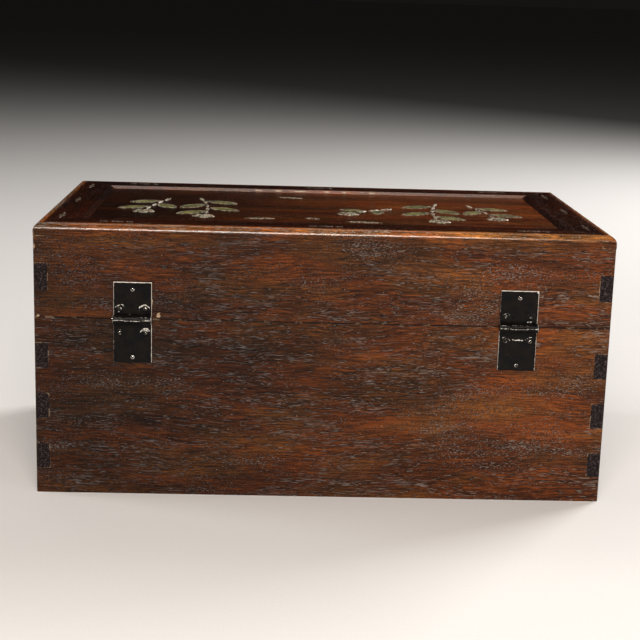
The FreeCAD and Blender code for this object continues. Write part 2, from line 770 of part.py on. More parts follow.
# ---------------------------------------------------------------- hinges

KNUCKLE_REACH = "(barrel_radius + knuckle_gap)"


def hinge_leaf(name, side, up, length, middle_kept, nail_places):
    """One leaf of a hinge about its pin: up is 1 for the lid's leaf and -1 for the body's."""
    leaf = new_body(name, across=HINGES[side], deep=f"box_depth / 2 + {HINGE_AXIS_OUT}",
                    high=HINGE_HEIGHT)
    plate = new_sketch(leaf, "plate", "XZ_Plane", offset=HINGE_AXIS_OUT)
    low, high = ("0", length) if up > 0 else (f"-{length}", "0")
    draw_rectangle(plate, "-leaf_width / 2", "leaf_width / 2", low, high)
    pad(leaf, plate, "leaf_thickness", backwards=True)
    far_end = value(f"{up} * {length}")
    round_edges(leaf, "corners", "leaf_corner_round",
                lambda edge: runs_along(edge, "y") and lies_at(edge, z=far_end))
    barrel = new_sketch(leaf, "barrel", "YZ_Plane")
    draw_circle(barrel, "0", "0", "barrel_radius")
    pad(leaf, barrel, "leaf_width", sides="Symmetric")

    gaps = new_sketch(leaf, "gaps", "XZ_Plane")
    low, high = (f"-{KNUCKLE_REACH}", KNUCKLE_REACH)
    if middle_kept:
        for sign in ("", "-"):
            draw_rectangle(gaps, f"{sign}middle_knuckle / 2", f"{sign}(leaf_width / 2 + overcut)", low, high)
    else:
        draw_rectangle(gaps, "-middle_knuckle / 2 - knuckle_gap", "middle_knuckle / 2 + knuckle_gap",
                       low, high)
    pocket(leaf, gaps, THROUGH, sides="Symmetric")

    bore = new_sketch(leaf, "bore", "YZ_Plane")
    draw_circle(bore, "0", "0", "hinge_pin_radius + pin_clearance")
    pocket(leaf, bore, THROUGH, sides="Symmetric")
    holes = new_sketch(leaf, "nail_holes", "XZ_Plane")
    for across, height in nail_places:
        draw_circle(holes, across, height, "nail_radius + nail_clearance")
    pocket(leaf, holes, THROUGH, sides="Symmetric")


for side in HINGES:
    hinge_leaf(f"hinge_{side}_lid_leaf", side, 1, "lid_leaf_length", False,
               leaf_nails("0", "lid_leaf_pair", "lid_leaf_single"))
    hinge_leaf(f"hinge_{side}_body_leaf", side, -1, "body_leaf_length", True,
               leaf_nails("0", "-body_leaf_pair", "-body_leaf_single"))
    riveted_pin(f"hinge_{side}_pin", "leaf_width", "hinge_pin_radius", "pin_head_radius", "pin_head_height",
                across=HINGES[side], deep=f"box_depth / 2 + {HINGE_AXIS_OUT}", high=HINGE_HEIGHT)

nail_group("hinge_lid_nails", "leaf_thickness", "nail_length",
           hinge_nail_points("lid_leaf_pair", "lid_leaf_single"), deep="box_depth / 2")
nail_group("hinge_body_nails", "leaf_thickness", "nail_length",
           hinge_nail_points("-body_leaf_pair", "-body_leaf_single"), deep="box_depth / 2")


# ---------------------------------------------------------------- clasp

# The clasp is a round plate split at the seam.  A tongue hangs from two ears on the lid's half
# between two eyes on the body's half, and its own eye lines up with theirs for a lock's bar.
# Its own frame has y = 0 on the front face, +y out of the box, and z = 0 at the seam.
CLASP = {"deep": "-box_depth / 2", "high": HINGE_HEIGHT, "turn": 180.0}
CLASP_NAILS_AT = {"deep": "-box_depth / 2", "turn": 180.0}
EAR_INNER = "(tongue_width / 2 + pin_clearance + knuckle_gap)"
EAR_OUTER = f"({EAR_INNER} + clasp_ear_thickness)"
EYE_INNER = "(tongue_width / 2 + lock_eye_play)"
EYE_OUTER = f"({EYE_INNER} + lock_eye_thickness)"


def add_lug(body, name, out, up, radius, base, length):
    """A round-ended lug across the plate, from its base out to a circle at (out, up)."""
    for shape in ("round", "root"):
        outline = new_sketch(body, f"{name}_{shape}", "YZ_Plane")
        if shape == "round":
            draw_circle(outline, out, up, radius)
        else:
            draw_rectangle(outline, base, out, f"{up} - {radius}", f"{up} + {radius}")
        pad(body, outline, length, sides="Symmetric")


def split_lug(body, name, inner, up, radius, base):
    """Opens the middle of a lug from the plate's face outwards, which leaves two ears."""
    opening = new_sketch(body, name, "XZ_Plane", offset=f"-({base})")
    draw_rectangle(opening, f"-{inner}", inner, f"{up} - {radius} - overcut", f"{up} + {radius} + overcut")
    pocket(body, opening, "clasp_plate_radius")


def bore_across(body, name, out, up, radius):
    """A hole along x through everything at (out, up)."""
    hole = new_sketch(body, name, "YZ_Plane")
    draw_circle(hole, out, up, radius)
    pocket(body, hole, THROUGH, sides="Symmetric")


def clasp_half(name, sign):
    """Half of the clasp's round plate, above the seam for sign 1 and below it for -1."""
    half_plate = new_body(name, **CLASP)
    disc = new_sketch(half_plate, "disc", "XZ_Plane")
    draw_circle(disc, "0", "0", "clasp_plate_radius")
    pad(half_plate, disc, "clasp_plate_thickness", backwards=True)
    other_half = new_sketch(half_plate, "split", "XZ_Plane")
    edges = (f"{sign} * clasp_split / 2", f"{-sign} * (clasp_plate_radius + overcut)")
    draw_rectangle(other_half, "-clasp_plate_radius - overcut", "clasp_plate_radius + overcut", *edges)
    pocket(half_plate, other_half, THROUGH, sides="Symmetric")
    holes = new_sketch(half_plate, "nail_holes", "XZ_Plane")
    for across, up in clasp_nail_points(sign, HINGE_HEIGHT):
        draw_circle(holes, across, up, "nail_radius + nail_clearance")
    pocket(half_plate, holes, THROUGH, sides="Symmetric")
    return half_plate


lid_half = clasp_half("clasp_lid_plate", 1)
add_lug(lid_half, "ears", "clasp_axis_out", "clasp_axis_up", "clasp_ear_radius", "0", f"2 * {EAR_OUTER}")
split_lug(lid_half, "ear_gap", EAR_INNER, "clasp_axis_up", "clasp_ear_radius", "clasp_plate_thickness")
bore_across(lid_half, "pin_hole", "clasp_axis_out", "clasp_axis_up", "clasp_pin_radius + pin_clearance")

body_half = clasp_half("clasp_body_plate", -1)
add_lug(body_half, "eyes", "lock_eye_out", "-lock_eye_down", "lock_eye_radius", "0", f"2 * {EYE_OUTER}")
split_lug(body_half, "eye_gap", EYE_INNER, "-lock_eye_down", "lock_eye_radius", "clasp_plate_thickness")
bore_across(body_half, "lock_hole", "lock_eye_out", "-lock_eye_down", "lock_hole_radius")

TONGUE_BACK = "(clasp_plate_thickness + tongue_stand_off)"
TONGUE_END = "(clasp_axis_up - tongue_length)"
clasp_tongue = new_body("clasp_tongue", **CLASP)
blade = new_sketch(clasp_tongue, "blade", "XZ_Plane", offset=f"-({TONGUE_BACK})")
draw_polygon(blade, [
    ("-tongue_width / 2", "clasp_axis_up"),
    ("-tongue_waist / 2", "clasp_axis_up - 0.35 * tongue_length"),
    ("-tongue_width / 2", "clasp_axis_up - 0.7 * tongue_length"),
    ("-tongue_width / 2", f"{TONGUE_END} + tongue_width / 3"),
    ("-tongue_width / 6", TONGUE_END),
    ("tongue_width / 6", TONGUE_END),
    ("tongue_width / 2", f"{TONGUE_END} + tongue_width / 3"),
    ("tongue_width / 2", "clasp_axis_up - 0.7 * tongue_length"),
    ("tongue_waist / 2", "clasp_axis_up - 0.35 * tongue_length"),
    ("tongue_width / 2", "clasp_axis_up"),
])
pad(clasp_tongue, blade, "tongue_thickness", backwards=True)
barrel = new_sketch(clasp_tongue, "barrel", "YZ_Plane")
draw_circle(barrel, "clasp_axis_out", "clasp_axis_up", "tongue_barrel_radius")
pad(clasp_tongue, barrel, "tongue_width", sides="Symmetric")
add_lug(clasp_tongue, "eye", "lock_eye_out", "-lock_eye_down", "lock_eye_radius", TONGUE_BACK,
        "tongue_eye_thickness")
bore_across(clasp_tongue, "lock_hole", "lock_eye_out", "-lock_eye_down", "lock_hole_radius")
bore_across(clasp_tongue, "pin_hole", "clasp_axis_out", "clasp_axis_up", "clasp_pin_radius + pin_clearance")

riveted_pin("clasp_pin", f"2 * {EAR_OUTER}", "clasp_pin_radius", "clasp_pin_head_radius",
            "clasp_pin_head_height", deep="-box_depth / 2 - clasp_axis_out",
            high=f"{HINGE_HEIGHT} + clasp_axis_up")
for name, sign in (("clasp_lid_nails", 1), ("clasp_body_nails", -1)):
    nail_group(name, "clasp_plate_thickness", "small_nail_length", clasp_nail_points(sign),
               **CLASP_NAILS_AT)


# ---------------------------------------------------------------- drawers

DRAWER_HALF = f"({OPENING_WIDTH} / 2 - drawer_gap)"
DRAWER_INNER_HALF = f"({DRAWER_HALF} - drawer_side_thickness)"
DRAWER_HEIGHT = "(drawer_opening_height - drawer_gap - drawer_run_gap)"
DRAWER_LENGTH = "(box_depth - wall - drawer_rear_gap)"
DRAWER_LOW = "bottom_thickness + drawer_run_gap"
BOTTOM_HIGH = "(drawer_bottom_raise + drawer_bottom_thickness)"


def drawer_body(name, middle):
    """A body in a drawer's own frame: y from its face inwards, z up from its lower edge."""
    return new_body(name, across=middle, deep="-box_depth / 2", high=DRAWER_LOW)


def drawer_piece(name, middle, left, right, near, far, low, high):
    """A board of a drawer between pairs of distances across, inwards and up."""
    board = drawer_body(name, middle)
    outline = new_sketch(board, "outline", "XY_Plane", offset=low)
    draw_rectangle(outline, left, right, near, far)
    pad(board, outline, f"({high}) - ({low})")
    return board


def drawer_groove(board, left, right, near, far):
    """The groove for the drawer's bottom, cut in a board of the drawer."""
    groove = new_sketch(board, "groove", "XY_Plane", offset=BOTTOM_HIGH)
    draw_rectangle(groove, left, right, near, far)
    pocket(board, groove, "drawer_bottom_thickness")


def make_drawer(side, sign):
    """One drawer: lapped front, grooved sides, a back above the bottom, and a ring pull."""
    middle = f"{sign} * {OPENING_MIDDLE}"
    front = drawer_piece(f"drawer_{side}_front", middle, f"-{DRAWER_HALF}", DRAWER_HALF,
                         "0", "drawer_front_thickness", "0", DRAWER_HEIGHT)
    laps = new_sketch(front, "laps", "XY_Plane")
    for edge in ("", "-"):
        draw_rectangle(laps, f"{edge}{DRAWER_INNER_HALF}", f"{edge}({DRAWER_HALF} + overcut)",
                       "drawer_front_lap", "drawer_front_thickness + overcut")
    pocket(front, laps, THROUGH, sides="Symmetric")
    drawer_groove(front, f"-{DRAWER_HALF}", DRAWER_HALF, "drawer_front_thickness - drawer_groove_depth",
                  "drawer_front_thickness + overcut")
    hole = new_sketch(front, "pull_hole", "XZ_Plane")
    draw_circle(hole, "0", f"{DRAWER_HEIGHT} / 2", "pull_shank_radius + nail_clearance")
    pocket(front, hole, THROUGH, sides="Symmetric")

    for hand, edge in (("left", "-"), ("right", "")):
        board = drawer_piece(f"drawer_{side}_{hand}_side", middle, f"{edge}{DRAWER_INNER_HALF}",
                             f"{edge}{DRAWER_HALF}", "drawer_front_lap", DRAWER_LENGTH, "0", DRAWER_HEIGHT)
        drawer_groove(board, f"{edge}({DRAWER_INNER_HALF} - overcut)",
                      f"{edge}({DRAWER_INNER_HALF} + drawer_groove_depth)", "0", f"{DRAWER_LENGTH} + overcut")
    drawer_piece(f"drawer_{side}_back", middle, f"-{DRAWER_INNER_HALF}", DRAWER_INNER_HALF,
                 f"{DRAWER_LENGTH} - drawer_back_thickness", DRAWER_LENGTH, BOTTOM_HIGH,
                 f"{DRAWER_HEIGHT} - drawer_back_drop")
    drawer_piece(f"drawer_{side}_bottom", middle, f"-({DRAWER_INNER_HALF} + drawer_groove_depth)",
                 f"{DRAWER_INNER_HALF} + drawer_groove_depth", "drawer_front_thickness - drawer_groove_depth",
                 DRAWER_LENGTH, "drawer_bottom_raise", BOTTOM_HIGH)
    make_pull(side, middle)


def make_pull(side, middle):
    """A round plate, a post with an eye and clenched legs, and the ring that hangs in the eye."""
    where = {"across": middle, "deep": "-box_depth / 2", "high": f"{DRAWER_LOW} + {DRAWER_HEIGHT} / 2"}
    plate = new_body(f"drawer_{side}_pull_plate", turn=180.0, **where)
    disc = new_sketch(plate, "disc", "XZ_Plane")
    draw_circle(disc, "0", "0", "pull_plate_radius")
    pad(plate, disc, "pull_plate_thickness", backwards=True)
    rim = value("pull_plate_thickness")
    round_edges(plate, "rim", "0.6 * pull_plate_thickness", lambda edge: lies_at(edge, y=rim))
    hole = new_sketch(plate, "hole", "XZ_Plane")
    draw_circle(hole, "0", "0", "pull_shank_radius + nail_clearance")
    pocket(plate, hole, THROUGH, sides="Symmetric")

    eye = new_body(f"drawer_{side}_pull_eye", turn=180.0, **where)
    shank = new_sketch(eye, "shank", "XZ_Plane", offset="drawer_front_thickness")
    draw_circle(shank, "0", "0", "pull_shank_radius")
    pad(eye, shank, "drawer_front_thickness + pull_eye_out - ring_wire_radius - ring_play", backwards=True)
    loop = new_sketch(eye, "loop", "YZ_Plane")
    draw_circle(loop, "pull_eye_out", "0", "pull_eye_radius")
    pad(eye, loop, "pull_eye_thickness", sides="Symmetric")
    legs = new_sketch(eye, "legs", "XZ_Plane", offset="drawer_front_thickness")
    draw_rectangle(legs, "-pull_leg_length", "pull_leg_length", "-pull_shank_radius", "pull_shank_radius")
    pad(eye, legs, "pull_leg_thickness")
    bore_across(eye, "ring_hole", "pull_eye_out", "0", "ring_wire_radius + ring_play")

    ring = document.addObject("Part::Torus", f"drawer_{side}_ring")
    ring.Label = f"drawer_{side}_ring"
    bind(ring, Radius1="ring_radius", Radius2="ring_wire_radius")
    ring.Placement = FreeCAD.Placement(FreeCAD.Vector(), FreeCAD.Rotation(ALONG_X, 90))
    for axis, expression in (("x", middle), ("y", "-box_depth / 2 - pull_eye_out"),
                             ("z", f"{DRAWER_LOW} + {DRAWER_HEIGHT} / 2 - ring_radius")):
        ring.setExpression(f"Placement.Base.{axis}", bound(expression))
    nodes.append(ring)


make_drawer("left", -1)
make_drawer("right", 1)


# ---------------------------------------------------------------- checks and files

document.recompute()
failed = [item.Name for item in document.Objects if "Invalid" in item.State or "Error" in item.State]
if failed:
    raise RuntimeError(f"not built: {failed}")
for node in nodes:
    if node.Shape.isNull() or not node.Shape.isValid() or not node.Shape.Solids:
        raise RuntimeError(f"{node.Label} has no sound shape")

os.makedirs("parts", exist_ok=True)
for node in nodes:
    node.Shape.exportStep(f"parts/{node.Label}.step")
print(f"{len(nodes)} nodes, {sum(len(node.Shape.Solids) for node in nodes)} solids")
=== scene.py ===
# %% [markdown]
# # A tea ceremony box, dressed in wood, iron, soapstone and pearl
# The box is a hardwood chest with a hinged lid, two drawers in its front and a round clasp.
# Its boards, hinges, drawers and inlay come ready made, each as a solid in its true place.
# This lesson loads them, gives each a finish, and adds the finer metalwork that solids leave plain.
# Everything is in metres, so a piece is placed by the number that a ruler would read.

# %% Load the finished solids
import math

import bmesh
import bpy
from mathutils import Euler, Matrix, Vector, noise


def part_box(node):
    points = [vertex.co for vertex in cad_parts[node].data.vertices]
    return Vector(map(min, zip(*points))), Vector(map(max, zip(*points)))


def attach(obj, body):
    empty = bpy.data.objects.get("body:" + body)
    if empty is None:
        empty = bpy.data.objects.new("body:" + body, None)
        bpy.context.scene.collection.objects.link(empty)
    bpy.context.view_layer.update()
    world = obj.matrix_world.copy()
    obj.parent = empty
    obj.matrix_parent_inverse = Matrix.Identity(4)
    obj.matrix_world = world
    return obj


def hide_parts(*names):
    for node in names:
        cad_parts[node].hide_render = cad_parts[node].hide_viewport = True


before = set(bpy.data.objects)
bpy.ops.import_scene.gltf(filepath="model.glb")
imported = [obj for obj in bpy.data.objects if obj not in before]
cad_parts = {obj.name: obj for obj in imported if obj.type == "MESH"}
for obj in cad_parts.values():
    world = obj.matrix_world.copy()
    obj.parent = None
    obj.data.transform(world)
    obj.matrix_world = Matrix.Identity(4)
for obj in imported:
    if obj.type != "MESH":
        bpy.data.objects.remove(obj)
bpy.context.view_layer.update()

# %% [markdown]
# ## The sizes that the finishes need
# A finish that wears at an edge has to know where that edge is.
# The numbers could be typed again, but then a change to a board would leave its wear behind.
# They are read from the solids' own boxes instead, so the finish follows the wood.

# %% Read the box's own planes
MM = 0.001
BACK_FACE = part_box("body_back_board")[1].y
SIDE_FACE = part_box("body_right_side")[1].x
SEAM = (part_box("body_back_board")[1].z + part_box("lid_back_wall")[0].z) / 2
FINGER_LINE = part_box("body_right_side")[0].x
LID_WALL_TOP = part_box("lid_back_wall")[1].z
BOX_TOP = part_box("top_rail_back")[1].z
BODY_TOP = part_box("body_back_board")[1].z
LID_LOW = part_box("lid_back_wall")[0].z
BODY_FINGER = BODY_TOP / 7
LID_FINGER = (LID_WALL_TOP - LID_LOW) / 3
BEVEL_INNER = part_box("top_rail_back")[0].y
print("back face", BACK_FACE, "side face", SIDE_FACE, "seam", SEAM, "top", BOX_TOP)

# %% [markdown]
# ## The camera
# The box is seen from behind and a little above, so that both hinges and the inlaid lid show.
# A camera can be aimed with a tracking constraint, or by hand in the viewport.
# Here its stand is given in box widths and its three small turns in degrees.
# A long lens keeps the box's edges nearly parallel, as they look from across a table.

# %% Set up the camera
STAND_ACROSS = 0.0875
STAND_BACK = 2.3628
STAND_UP = 0.8623
TURNS_DEG = (-12.8565, -1.6443, -1.5658)
LENS_MM = 78.76
SENSOR_MM = 36.0

box_width = 2 * SIDE_FACE
camera_data = bpy.data.cameras.new("portrait_camera")
camera_data.lens = LENS_MM
camera_data.sensor_width = SENSOR_MM
camera_data.clip_start = 0.01
camera_data.clip_end = 10000
camera = bpy.data.objects.new("portrait_camera", camera_data)
bpy.context.scene.collection.objects.link(camera)
tilt = Euler([math.radians(turn) for turn in TURNS_DEG], "XYZ").to_matrix()
right, ahead, upward = tilt.col
aim = Matrix((right, upward, -ahead)).transposed()
half_turn = Matrix.Rotation(math.pi, 3, "Z")
stand = Vector((STAND_ACROSS * box_width, BACK_FACE + STAND_BACK * box_width, STAND_UP * box_width))
camera.matrix_world = Matrix.Translation(stand) @ (half_turn @ aim).to_4x4()
bpy.context.scene.camera = camera
print("camera stands at", stand[:])

# %% [markdown]
# ## Helpers for building a finish
# A finish is a small machine of nodes: noise goes in one side and colour, gloss and relief come out.
# Nodes could be placed and wired one by one, but the wiring soon hides the idea.
# This helper keeps each node to one readable line and hands back the socket to use next.

# %% A workbench for finishes
class Finish:
    """One material being made. Each method adds a node and returns the socket that it feeds."""

    def __init__(self, name):
        self.material = bpy.data.materials.new(name)
        self.material.use_nodes = True
        self.tree = self.material.node_tree
        self.shader = self.tree.nodes["Principled BSDF"]
        self.texture_place = self.tree.nodes.new("ShaderNodeTexCoord")

    def feed(self, socket, source):
        """Wires a socket to an input, or writes a plain number or colour on it."""
        if isinstance(source, bpy.types.NodeSocket):
            self.tree.links.new(source, socket)
        else:
            socket.default_value = source

    def add(self, kind, inputs, output=0, **settings):
        """Adds a node, sets it, feeds its inputs by name or number, and returns one output."""
        made = self.tree.nodes.new(kind)
        for name, setting in settings.items():
            setattr(made, name, setting)
        for name, source in inputs.items():
            self.feed(made.inputs[name], source)
        return made.outputs[output]

    def place(self):
        """Where a point of the surface is at rest, in metres."""
        return self.texture_place.outputs["Object"]

    def facing(self):
        """Which way the surface looks at rest."""
        return self.texture_place.outputs["Normal"]

    def math(self, operation, first, second=0.0, clamp=False):
        """One sum on one or two numbers."""
        return self.add("ShaderNodeMath", {0: first, 1: second}, operation=operation, use_clamp=clamp)

    def split(self, vector):
        """The three numbers of a vector."""
        made = self.tree.nodes.new("ShaderNodeSeparateXYZ")
        self.feed(made.inputs[0], vector)
        return made.outputs[0], made.outputs[1], made.outputs[2]

    def join(self, first, second, third):
        """A vector from three numbers."""
        return self.add("ShaderNodeCombineXYZ", {0: first, 1: second, 2: third})

    def stretch(self, vector, scales, shift=(0, 0, 0)):
        """The place scaled along each axis, so that a noise is drawn out along the grain."""
        moved = self.add("ShaderNodeVectorMath", {0: vector, 1: shift}, operation="ADD")
        return self.add("ShaderNodeVectorMath", {0: moved, 1: scales}, operation="MULTIPLY")

    def cloud(self, vector, detail=2.0, roughness=0.5, output="Fac"):
        """Soft noise of cells one unit wide."""
        inputs = {"Vector": vector, "Scale": 1.0, "Detail": detail, "Roughness": roughness}
        return self.add("ShaderNodeTexNoise", inputs, output)

    def step(self, value, low, high, to_low=0.0, to_high=1.0):
        """A smooth step from one level to another."""
        inputs = {"Value": value, "From Min": low, "From Max": high, "To Min": to_low, "To Max": to_high}
        return self.add("ShaderNodeMapRange", inputs, interpolation_type="SMOOTHSTEP", clamp=True)

    def blend(self, share, first, second, kind="MIX"):
        """Two colours mixed by a share from 0 to 1."""
        inputs = {"Fac": share, "Color1": first, "Color2": second}
        return self.add("ShaderNodeMixRGB", inputs, blend_type=kind)

    def colours(self, value, stops):
        """A number turned into a colour by a ramp of (place, colour) stops."""
        made = self.tree.nodes.new("ShaderNodeValToRGB")
        self.feed(made.inputs[0], value)
        ramp = made.color_ramp
        while len(ramp.elements) < len(stops):
            ramp.elements.new(0.5)
        for element, (place, colour) in zip(ramp.elements, stops):
            element.position = place
            element.color = (*colour, 1)
        return made.outputs[0]

    def relief(self, height, depth, strength=1.0):
        """Small ups and downs of the surface, with a full height of depth metres."""
        inputs = {"Height": height, "Distance": depth, "Strength": strength}
        return self.add("ShaderNodeBump", inputs)

    def near(self, vector, centre, radii):
        """1 at the middle of an ellipsoid, falling to 0 at its skin."""
        away = self.add("ShaderNodeVectorMath", {0: vector, 1: centre}, operation="SUBTRACT")
        inverse = [1 / radius for radius in radii]
        scaled = self.add("ShaderNodeVectorMath", {0: away, 1: inverse}, operation="MULTIPLY")
        length = self.add("ShaderNodeVectorMath", {0: scaled}, "Value", operation="LENGTH")
        return self.math("SUBTRACT", 1.0, length, clamp=True)

    def finish(self, **sockets):
        """Feeds the shader by its sockets' names, with spaces written as underscores."""
        for name, source in sockets.items():
            self.feed(self.shader.inputs[name.replace("_", " ")], source)
        return self.material


print("the workbench is ready")

# %% [markdown]
# ## The hardwood
# The outside is an old, open-grained hardwood, red-brown, rubbed with wax and dust for decades.
# Its look has three scales: broad drifts of light and dark, fine streaks along the grain,
# and short pores that the dust has filled with grey.
# A picture of wood could be wrapped round each board, but then end grain would look like a face.
# Here the wood is solid: noise is stretched along the grain in three dimensions, and the board cuts it.
# A pore is then a dash on a face and a dot on the end grain of a finger, as in real wood.

# %% Wood that is solid all through
WOOD_DARK = (0.015, 0.0050, 0.0024)
WOOD_MID = (0.056, 0.0175, 0.0055)
WOOD_WARM = (0.108, 0.0305, 0.0075)
WOOD_BRIGHT = (0.210, 0.0610, 0.0125)
RED_FIGURE = (1.05, 0.96, 0.93, 1)
GOLD_FIGURE = (0.94, 1.13, 1.16, 1)
# painted shade and painted light for the lid's panel, darker towards +X and lighter towards -X
PANEL_SHADED = (0.50, 0.40, 0.40, 1)
PANEL_LIT_TINT = (1.75, 1.45, 1.30, 1)
# painted shade and painted light along the box: a board running along X is darker towards +X and lighter
# towards -X
SHADED_END_TINT = (0.62, 0.66, 0.74, 1)
LIT_END_TINT = (1.20, 1.16, 1.10, 1)
DUST = (0.175, 0.148, 0.132, 1)
PORE_SHADE = (0.006, 0.003, 0.002, 1)
RAW_WOOD = (0.420, 0.310, 0.200, 1)
END_GRAIN = (0.0050, 0.0027, 0.0030)
END_SPECK = (0.095, 0.066, 0.066)


def wandering_grain(f, grain, seed):
    """The place with the grain laid along the first axis, wandering a few millimetres to the side."""
    x, y, z = f.split(f.place())
    if grain == "Y":
        x, y = y, x
    board = f.stretch(f.join(x, y, z), (1, 1, 1), (0.37 * seed, 0.21 * seed, 0.13 * seed))
    slow = f.cloud(f.stretch(board, (6, 17, 17)), 1.0, output="Color")
    quick = f.cloud(f.stretch(board, (30, 62, 62)), 2.0, output="Color")
    slow_push = f.add("ShaderNodeVectorMath", {0: slow, 1: (0, 0.011, 0.011)}, operation="MULTIPLY")
    quick_push = f.add("ShaderNodeVectorMath", {0: quick, 1: (0, 0.0055, 0.0055)}, operation="MULTIPLY")
    pushed = f.add("ShaderNodeVectorMath", {0: board, 1: slow_push}, operation="ADD")
    return f.add("ShaderNodeVectorMath", {0: pushed, 1: quick_push}, operation="ADD")


print("wood colours run from", WOOD_DARK, "to", WOOD_BRIGHT)

# %% [markdown]
# ## Where hands and time have worked
# Old boxes wear in the same places: the upright corners, the lips of the seam and round the joints.
# A brush could paint these marks, but they would stay behind if a board changed size.
# So each mark is worked out from the box's planes, and noise breaks it into patches.
# Bare wood shows at corners and knocks, dark grime gathers in joints, and dry glue pales the fingers.

# %% Marks that follow the box's planes
def worn_arrises(f):
    """1 along the box's upright corners and along the seam, in broken lengths, and 0 elsewhere."""
    x, y, z = f.split(f.place())
    past_side = f.math("SUBTRACT", f.math("ABSOLUTE", x), SIDE_FACE - 0.9 * MM)
    past_back = f.math("SUBTRACT", f.math("ABSOLUTE", y), BACK_FACE - 0.9 * MM)
    corner = f.math("MINIMUM", past_side, past_back)
    outside = f.math("MAXIMUM", past_side, past_back)
    off_seam = f.math("SUBTRACT", 0.75 * MM, f.math("ABSOLUTE", f.math("SUBTRACT", z, SEAM)))
    seam = f.math("MINIMUM", off_seam, outside)
    edge = f.step(f.math("MAXIMUM", corner, seam), 0.0, 0.5 * MM)
    patches = f.step(f.cloud(f.stretch(f.place(), (150, 150, 150)), 3.0, 0.75), 0.54, 0.62)
    return f.math("MULTIPLY", edge, patches)


def dings(f, places):
    """1 inside any of a few small knocks, each given as (x, y, z, half width, half height) in millimetres."""
    ragged = f.cloud(f.stretch(f.place(), (600, 600, 600)), 3.0, 0.7)
    total = None
    for x, y, z, half_width, half_height in places:
        radii = (half_width * MM, 1.5 * MM, half_height * MM)
        knock = f.near(f.place(), (x * MM, y * MM, z * MM), radii)
        total = knock if total is None else f.math("MAXIMUM", total, knock)
    ragged = f.math("MULTIPLY", f.math("SUBTRACT", ragged, 0.5), 1.9)
    return f.step(f.math("ADD", total, ragged), 0.34, 0.52)


def joint_grime(f):
    """1 in the thin dark lines where the lid meets the body and where the lid's frame sits on its walls."""
    x, y, z = f.split(f.place())
    lines = None
    for level, half, strength in ((SEAM, 0.65 * MM, 1.0), (LID_WALL_TOP, 0.25 * MM, 0.35)):
        away = f.math("ABSOLUTE", f.math("SUBTRACT", z, level))
        line = f.step(away, half, 0.4 * half, 0.0, strength)
        lines = line if lines is None else f.math("MAXIMUM", lines, line)
    upward = f.math("ABSOLUTE", f.split(f.facing())[2])
    return f.math("MULTIPLY", lines, f.step(upward, 0.9, 0.6))


def glue_lines(f):
    """1 in the broken pale lines round the side boards' fingers at the corners, and 0 elsewhere."""
    x, y, z = f.split(f.place())
    in_lid = f.math("GREATER_THAN", z, SEAM)
    body_count = f.math("DIVIDE", z, BODY_FINGER)
    lid_count = f.math("DIVIDE", f.math("SUBTRACT", z, LID_LOW), LID_FINGER)
    more = f.math("MULTIPLY", f.math("SUBTRACT", lid_count, body_count), in_lid)
    count = f.math("ADD", body_count, more)
    is_side_finger = f.math("GREATER_THAN", f.math("FRACT", f.math("MULTIPLY", count, 0.5)), 0.5)
    across = f.math("ABSOLUTE", x)
    from_root = f.math("ABSOLUTE", f.math("SUBTRACT", across, FINGER_LINE))
    root = f.math("MULTIPLY", f.step(from_root, 0.50 * MM, 0.20 * MM), is_side_finger)
    from_cheek = f.math("PINGPONG", count, 0.5)
    past_root = f.math("GREATER_THAN", across, FINGER_LINE)
    cheek = f.math("MULTIPLY", f.step(from_cheek, 0.024, 0.010), past_root)
    chipped = f.step(f.cloud(f.stretch(f.place(), (260, 260, 170)), 3.0, 0.7), 0.50, 0.60)
    on_face = f.step(f.math("ABSOLUTE", y), BACK_FACE - 0.9 * MM, BACK_FACE - 0.4 * MM)
    return f.math("MULTIPLY", f.math("MULTIPLY", f.math("MAXIMUM", root, cheek), chipped), on_face)


print("a finger is", BODY_FINGER, "high on the body and", LID_FINGER, "on the lid")

# %% [markdown]
# ## The lid's frame
# The frame's colour holds painted light and shade: its flat top is painted nearly black as painted shade, and
# its round edge is painted paler as a painted sheen, partly also rubbed wear.
# The rails' inner bevels get the same painted sheen, and those of the stiles stay dark.
# The board's colour is multiplied by a tint in each place, so the grain still shows through.

# %% Tints of the frame
# tints for painted shade on the frame's flat top, and a painted sheen, partly rubbed wear, on its round edge
# and the rails' bevels
FLAT_PAINTED_SHADE = (0.34, 0.22, 0.20, 1)
SHEEN_AND_RUB_TINT = (2.1, 1.9, 1.7, 1)
EDGE_SHEEN_TINT = (1.60, 1.95, 1.95, 1)
FRAME_EDGE = 8 * MM


